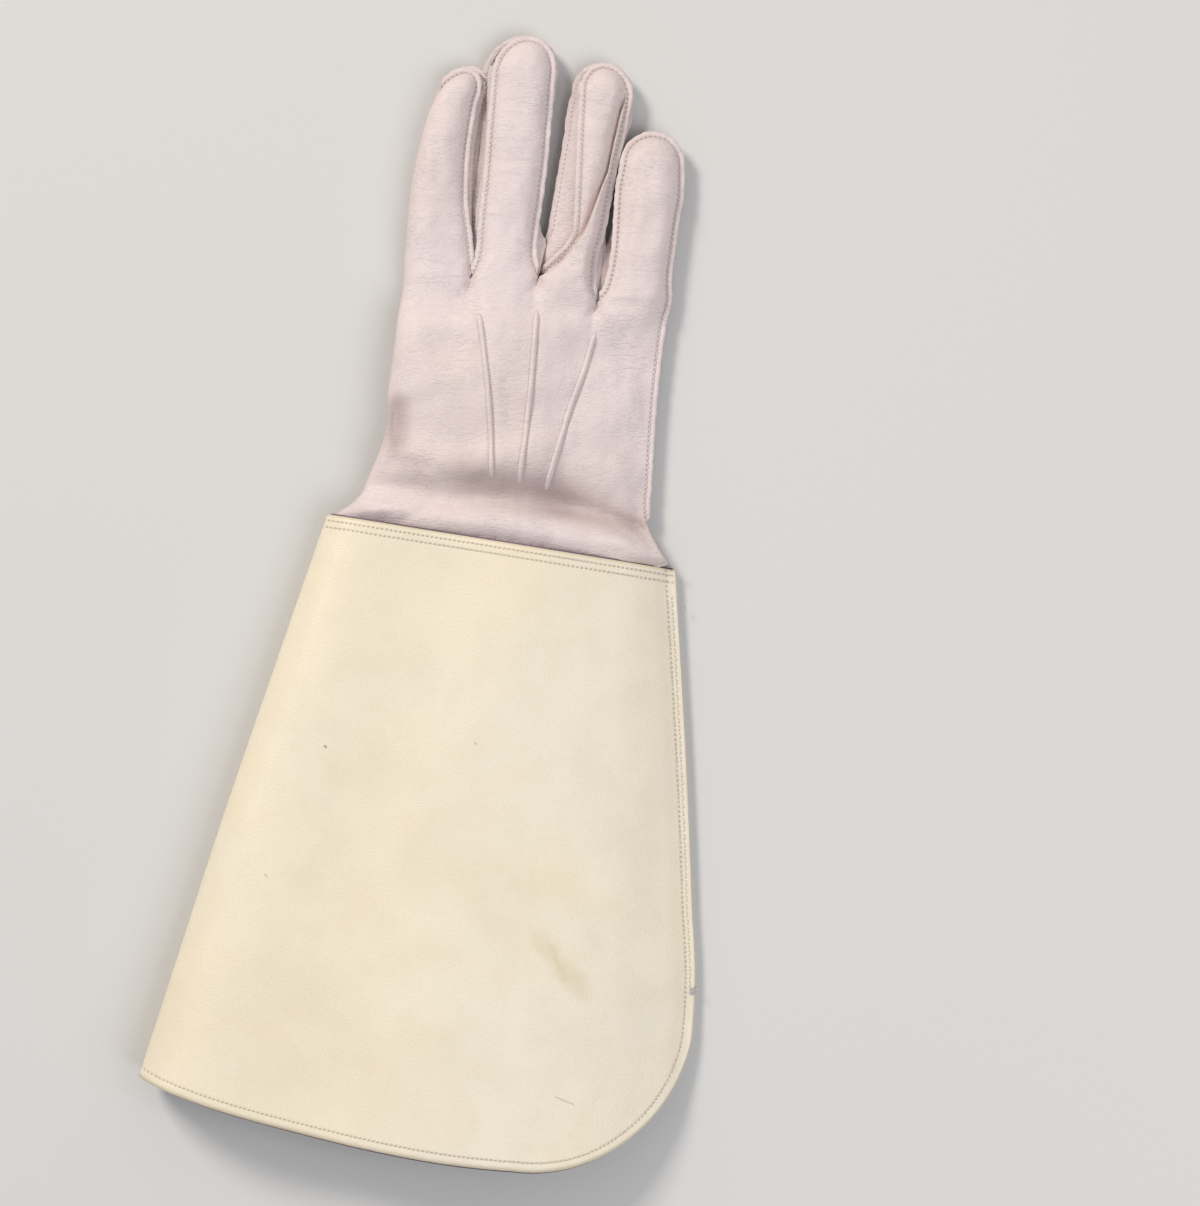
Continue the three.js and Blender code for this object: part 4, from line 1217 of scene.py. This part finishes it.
grain, gets, gives = group_of(
    "leather_grain", ["Vector", "Pore", "Wrinkle"], ["Height", "Cells", "Lines", "Tone", "Blotch"])
pores = add(grain, "ShaderNodeTexVoronoi", {"Vector": gets["Vector"], "Scale": gets["Pore"]}, feature="F1")
folds = add(grain, "ShaderNodeTexNoise",
            {"Vector": gets["Vector"], "Scale": gets["Wrinkle"], "Detail": 4.0, "Roughness": 0.55})
broad = add(grain, "ShaderNodeTexNoise", {"Vector": gets["Vector"], "Scale": 16.0, "Detail": 3.0})
patches = add(grain, "ShaderNodeTexNoise", {"Vector": gets["Vector"], "Scale": 70.0, "Detail": 4.0})
pebble = ramp(grain, pores.outputs["Distance"], 0.75, 0.05)
slow = calc(grain, "MULTIPLY", gets["Wrinkle"], 0.40)
bands = add(grain, "ShaderNodeTexNoise",
            {"Vector": gets["Vector"], "Scale": slow, "Detail": 2.0, "Distortion": 0.3})
off_line = calc(grain, "ABSOLUTE", calc(grain, "SUBTRACT", bands.outputs["Fac"], 0.5))
grain.links.new(ramp(grain, off_line, 0.05, 0.0), gives["Lines"])
height = calc(grain, "MULTIPLY_ADD", folds.outputs["Fac"], 0.62, calc(grain, "MULTIPLY", pebble, 0.38))
grain.links.new(height, gives["Height"])
grain.links.new(pebble, gives["Cells"])
grain.links.new(ramp(grain, broad.outputs["Fac"], 0.34, 0.66), gives["Tone"])
grain.links.new(ramp(grain, patches.outputs["Fac"], 0.36, 0.70), gives["Blotch"])


def marks_along(tree, place, row, pitch):
    """Groove and holes of a stitch row at a distance from an edge."""
    return use_group(tree, marks, {"Along": place["X"], "Away": place["Y"], "Row": row, "Pitch": pitch})


def linear(red, green, blue):
    """Screen colour 0 to 255 as the linear colour that a shader takes."""
    share = np.array([red, green, blue]) / 255
    value = np.where(share <= 0.04045, share / 12.92, ((share + 0.055) / 1.055) ** 2.4)
    return (*value.tolist(), 1.0)


def new_material(name, roughness, **fixed):
    """Material with one Principled shader; fixed numbers go straight on its sockets."""
    material = bpy.data.materials.new(name)
    material.use_nodes = True
    tree = material.node_tree
    shader = tree.nodes["Principled BSDF"]
    shader.inputs["Roughness"].default_value = roughness
    for key, value in fixed.items():
        shader.inputs[key.replace("_", " ")].default_value = value
    return material, tree, shader


def spot_mask(tree, place, start, end, inner, outer):
    """Soft mark along a short line on the surface: 1 within inner of the line, 0 past outer.
    start and end are photo pixels; place is the place on the object in metres."""
    first, last = to_frame(np.append(from_photo(start), 0)), to_frame(np.append(from_photo(end), 0))
    flat = vector(tree, "MULTIPLY", {0: place, 1: (1.0, 1.0, 0.0)})
    away = vector(tree, "SUBTRACT", {0: flat, 1: first.tolist()})
    run = (last - first).tolist()
    dot = vector(tree, "DOT_PRODUCT", {0: away, 1: run}, "Value")
    share = calc(tree, "DIVIDE", dot, float(np.dot(run, run)), clamp=True)
    near = vector(tree, "SCALE", {0: run, "Scale": share})
    gap = vector(tree, "DISTANCE", {0: away, 1: near}, "Value")
    return ramp(tree, gap, outer * MM, inner * MM)


# %% [markdown]
# The glove leather is thin and soft, a white with a breath of lilac and rose. It is nearly matt,
# with a silky sheen at grazing angles. Its grain is drawn out across the fingers into fine
# wrinkles. Creases are darkened with painted shade, and broad painted shade lies along the wrist
# crease above the cuff and at the heel of the hand.

# %% Glove leather
GLOVE_WHITE = linear(231, 216, 214)
GLOVE_WARM = linear(230, 213, 207)
GLOVE_SHADE = linear(196, 178, 180)
GLOVE_CREASE_SHADE = linear(172, 152, 148)
# Painted shade along the wrist crease above the cuff and at the heel of the hand: from pixel, to pixel, reach
# in millimetres and strength
PAINTED_CREASE_SHADES = [
    ((396, 407), (394, 442), 8.0, 0.55), ((410, 470), (480, 482), 13.0, 0.18),
    ((470, 476), (560, 492), 14.0, 0.42), ((545, 494), (648, 526), 11.0, 0.34),
    ((520, 500), (640, 526), 4.0, 0.25),
]
HOLE_SHADE = linear(122, 104, 100)


def glove_leather(name, sewn, warmth, wear):
    """Soft leather; sewn adds needle holes and stitch grooves from the seam map and darkens them with painted
    shade, darkens the creases from the crease map with painted shade, and lays painted shade bands along the
    wrist crease and at the heel of the hand.
    """
    material, tree, shader = new_material(
        name, 0.56, Sheen_Weight=0.22, Sheen_Roughness=0.45, Specular_IOR_Level=0.34,
        Subsurface_Weight=0.06, Subsurface_Scale=0.002)
    shader.inputs["Subsurface Radius"].default_value = (1.0, 0.62, 0.5)
    shader.inputs["Sheen Tint"].default_value = (1.0, 0.96, 0.95, 1.0)
    place = object_place(tree)
    drawn = add(tree, "ShaderNodeMapping", {"Vector": place, "Scale": (0.30, 1.0, 0.6)}).outputs[0]
    even = use_group(tree, grain, {"Vector": place, "Pore": 2600.0, "Wrinkle": 900.0})
    cross = use_group(tree, grain, {"Vector": drawn, "Pore": 2400.0, "Wrinkle": 1150.0})
    colour = mixed(tree, even["Tone"], GLOVE_WHITE, GLOVE_WARM)
    colour = tinted(tree, colour, GLOVE_SHADE, cross["Blotch"], warmth)
    cracks = ramp(tree, cross["Height"], 0.52, 0.36)
    colour = tinted(tree, colour, GLOVE_SHADE, cracks, wear)
    height = calc(tree, "MULTIPLY_ADD", cross["Height"], 0.62, calc(tree, "MULTIPLY", even["Height"], 0.28))
    lines = calc(tree, "MULTIPLY", cross["Lines"], calc(tree, "MULTIPLY_ADD", even["Blotch"], 0.40, 0.14))
    height = calc(tree, "SUBTRACT", height, lines)
    if sewn:
        hole = marks_along(tree, map_place(tree, "seam"), 0.0, SEAM_PITCH)
        # Painted shade: the deeper a crease, the darker its colour.
        crease = ramp(tree, map_place(tree, "crease")["X"], 0.15, 1.2)
        colour = tinted(tree, colour, GLOVE_SHADE, crease, 0.30)
        # Painted shade: darker bands along the wrist crease above the cuff and at the heel of the hand.
        for start, end, reach, strength in PAINTED_CREASE_SHADES:
            shade = spot_mask(tree, place, start, end, 0.5, reach)
            shade = calc(tree, "MULTIPLY", shade, calc(tree, "MULTIPLY_ADD", even["Blotch"], 0.15, strength))
            colour = mixed(tree, shade, colour, GLOVE_CREASE_SHADE)
        # Painted shade in the needle holes and in the grooves that the thread presses.
        colour = tinted(tree, colour, GLOVE_SHADE, hole["Groove"], 0.16)
        colour = tinted(tree, colour, HOLE_SHADE, hole["Hole"], 0.5)
        height = sunk(tree, sunk(tree, height, hole["Groove"], 0.9), hole["Hole"], 1.2)
    rough = calc(tree, "MULTIPLY_ADD", even["Tone"], 0.06, 0.60)
    rough = calc(tree, "MULTIPLY_ADD", cross["Height"], -0.14, rough)
    finished(tree, shader, colour, rough, height, 0.75, 0.00034)
    return material


glove_material = glove_leather("glove_leather_sewn", True, 0.16, 0.20)
plain_material = glove_leather("glove_leather_plain", False, 0.16, 0.20)
fourchette_material = glove_leather("fourchette_leather_soft", False, 0.26, 0.26)

# %% [markdown]
# The cuff leather is thick, cream and satin. Its grain is a fine even pebble with a few broader
# undulations. A faint brown streak, a speck and a scratch are where the photograph has them;
# the cut edges are a little greyer, and the needle holes look like a row of dark dashes.

# %% Cuff leather, lining and thread
CUFF_CREAM = linear(238, 226, 201)
CUFF_PALE = linear(236, 226, 206)
# Stain colour for the real stains and worn edges, also laid as painted shade in the stitch grooves
CUFF_STAIN_AND_SHADE = linear(206, 184, 142)
CUFF_BROWN = linear(150, 120, 84)
CUFF_HOLE_SHADE = linear(120, 108, 92)
# Both lining tones are darkened with painted shade for the shadow in the narrow gap where the lining shows at
# the cuff's edges
LINING_SHADED_LILAC = linear(140, 118, 130)
LINING_SHADED_DARK = linear(108, 88, 100)
THREAD_WHITE = linear(232, 222, 218)
THREAD_DARK = linear(196, 184, 180)
CUFF_THREAD_COLOUR = linear(214, 203, 184)
# From pixel, to pixel, full and faded reach in millimetres, and strength: the streak and three
# broad faint stains, whose outlines a noise moves by up to this many metres
STAIN_WANDER = 0.016
CUFF_STAINS = [
    ((545, 938), (577, 990), 0.4, 7.0, 0.26), ((553, 945), (560, 975), 0.2, 2.2, 0.22),
    ((440, 860), (520, 900), 3.0, 26.0, 0.10), ((200, 1010), (420, 1090), 6.0, 34.0, 0.08),
]
# Specks, and as the second row the scratch
CUFF_SPECKS = [
    ((327, 745), (328, 746), 0.25, 0.7, 0.7), ((556, 1093), (574, 1101), 0.08, 0.4, 0.45),
    ((476, 742), (477, 743), 0.2, 0.5, 0.4), ((268, 872), (270, 874), 0.2, 0.5, 0.35),
]

cuff_material, tree, shader = new_material(
    "cuff_leather_cream", 0.40, Specular_IOR_Level=0.42, Sheen_Weight=0.05)
place = object_place(tree)
even = use_group(tree, grain, {"Vector": place, "Pore": 1250.0, "Wrinkle": 520.0})
colour = mixed(tree, even["Tone"], CUFF_CREAM, CUFF_PALE)
colour = tinted(tree, colour, CUFF_STAIN_AND_SHADE, even["Blotch"], 0.10)
colour = tinted(tree, colour, CUFF_STAIN_AND_SHADE, ramp(tree, even["Cells"], 0.45, 0.05), 0.10)
wander = add(tree, "ShaderNodeTexNoise", {"Vector": place, "Scale": 60.0, "Detail": 3.0}).outputs["Color"]
wander = vector(tree, "SUBTRACT", {0: wander, 1: (0.5, 0.5, 0.5)})
wander = vector(tree, "SCALE", {0: wander, "Scale": STAIN_WANDER})
adrift = vector(tree, "ADD", {0: place, 1: wander})
for spots, at, shade in ((CUFF_STAINS, adrift, CUFF_STAIN_AND_SHADE), (CUFF_SPECKS, place, CUFF_BROWN)):
    for *line, strength in spots:
        colour = tinted(tree, colour, shade, spot_mask(tree, at, *line), strength)
height = calc(tree, "MULTIPLY_ADD", even["Cells"], 0.7, calc(tree, "MULTIPLY", even["Height"], 0.45))
top_edge, hem = map_place(tree, "top_edge"), map_place(tree, "hem")
# Painted shade in the needle holes and in the thread grooves of each row.
for edge, distance in ((top_edge, TOP_ROWS[0]), (top_edge, TOP_ROWS[1]), (hem, HEM_ROW)):
    hole = marks_along(tree, edge, distance, CUFF_PITCH)
    colour = tinted(tree, colour, CUFF_STAIN_AND_SHADE, hole["Groove"], 0.14)
    colour = tinted(tree, colour, CUFF_HOLE_SHADE, hole["Hole"], 0.45)
    height = sunk(tree, sunk(tree, height, hole["Groove"], 1.3), hole["Hole"], 1.2)
worn = ramp(tree, calc(tree, "MINIMUM", top_edge["Y"], hem["Y"]), 1.3, 0.1)
colour = tinted(tree, colour, CUFF_STAIN_AND_SHADE, worn, 0.35)
rough = calc(tree, "MULTIPLY_ADD", even["Blotch"], 0.08, 0.46)
rough = calc(tree, "MULTIPLY_ADD", even["Cells"], -0.08, rough)
finished(tree, shader, colour, rough, height, 0.42, 0.00016)


def simple_cloth(name, first, second, roughness, scale, strength, distance):
    """Thread or lining: two tones and a fibre bump."""
    material, tree, shader = new_material(name, roughness, Sheen_Weight=0.15, Specular_IOR_Level=0.3)
    place = object_place(tree)
    fibre = use_group(tree, grain, {"Vector": place, "Pore": scale, "Wrinkle": scale * 0.8})
    colour = mixed(tree, fibre["Tone"], first, second)
    colour = tinted(tree, colour, second, ramp(tree, fibre["Height"], 0.6, 0.3), 0.35)
    rough = calc(tree, "MULTIPLY_ADD", fibre["Blotch"], 0.12, roughness - 0.06)
    finished(tree, shader, colour, rough, fibre["Height"], strength, distance)
    return material


lining_material = simple_cloth("lining_lilac_shaded", LINING_SHADED_LILAC, LINING_SHADED_DARK, 0.8, 1600.0, 0.5, 0.0002)
thread_material = simple_cloth("thread_white", THREAD_WHITE, THREAD_DARK, 0.6, 5000.0, 0.6, 0.00008)
cuff_thread_material = simple_cloth(
    "thread_cream", CUFF_THREAD_COLOUR, THREAD_DARK, 0.6, 5000.0, 0.6, 0.00008)

for piece, material in [
    (trank, glove_material), (thumb_pouch, plain_material), (back_points, plain_material),
    (cuff_outer, cuff_material), (cuff_lining, lining_material),
    (hand_stitches, thread_material), (cuff_stitches, cuff_thread_material), (loose_threads, thread_material),
] + [(bpy.data.objects[name + "_strip"], fourchette_material) for name in FOURCHETTES]:
    piece.data.materials.clear()
    piece.data.materials.append(material)
print("materials", sorted(material.name for material in bpy.data.materials))

# %% [markdown]
# The table is a large pale sheet. One broad soft light stands at the upper left, so the fold of the
# cuff is bright and the fingers throw short soft shadows to the lower right. A weak light from the
# other side and a pale sky keep those shadows open.

# %% Floor and lights
FLOOR_SIZE = 6.0
FLOOR_COLOUR = linear(214, 212, 209)
SKY = (0.96, 0.97, 1.0, 1.0)
SKY_STRENGTH = 0.41
LIGHTS = {
    "key_light": {"at": (-1.55, 1.85, 1.95), "size": 0.8, "power": 64.0, "colour": (1.0, 0.950, 0.885)},
    "fill_light": {"at": (0.9, -0.5, 1.4), "size": 1.2, "power": 11.5, "colour": (0.92, 0.95, 1.0)},
}

half = FLOOR_SIZE / 2
floor_mesh = bpy.data.meshes.new("floor")
corners = [(-half, -half, 0), (half, -half, 0), (half, half, 0), (-half, half, 0)]
floor_mesh.from_pydata(corners, [], [(0, 1, 2, 3)])
floor = linked("floor", floor_mesh)
floor_material, tree, shader = new_material("floor_paper", 0.75, Specular_IOR_Level=0.25)
place = object_place(tree)
speckle = add(tree, "ShaderNodeTexNoise", {"Vector": place, "Scale": 900.0, "Detail": 2.0}).outputs["Fac"]
colour = mixed(tree, calc(tree, "MULTIPLY", speckle, 0.05), FLOOR_COLOUR, (0.5, 0.5, 0.5, 1.0))
tree.links.new(colour, shader.inputs["Base Color"])
floor_mesh.materials.append(floor_material)

for name, row in LIGHTS.items():
    data = bpy.data.lights.new(name, "AREA")
    data.energy, data.size, data.color = row["power"], row["size"], row["colour"]
    light = linked(name, data)
    light.location = row["at"]
    light.rotation_euler = (-light.location).to_track_quat("-Z", "Y").to_euler()
world = bpy.data.worlds.new("sky")
bpy.context.scene.world = world
world.use_nodes = True
background = world.node_tree.nodes["Background"]
background.inputs["Color"].default_value = SKY
background.inputs["Strength"].default_value = SKY_STRENGTH
bpy.context.scene.view_settings.view_transform = "Standard"
print("lights", list(LIGHTS))
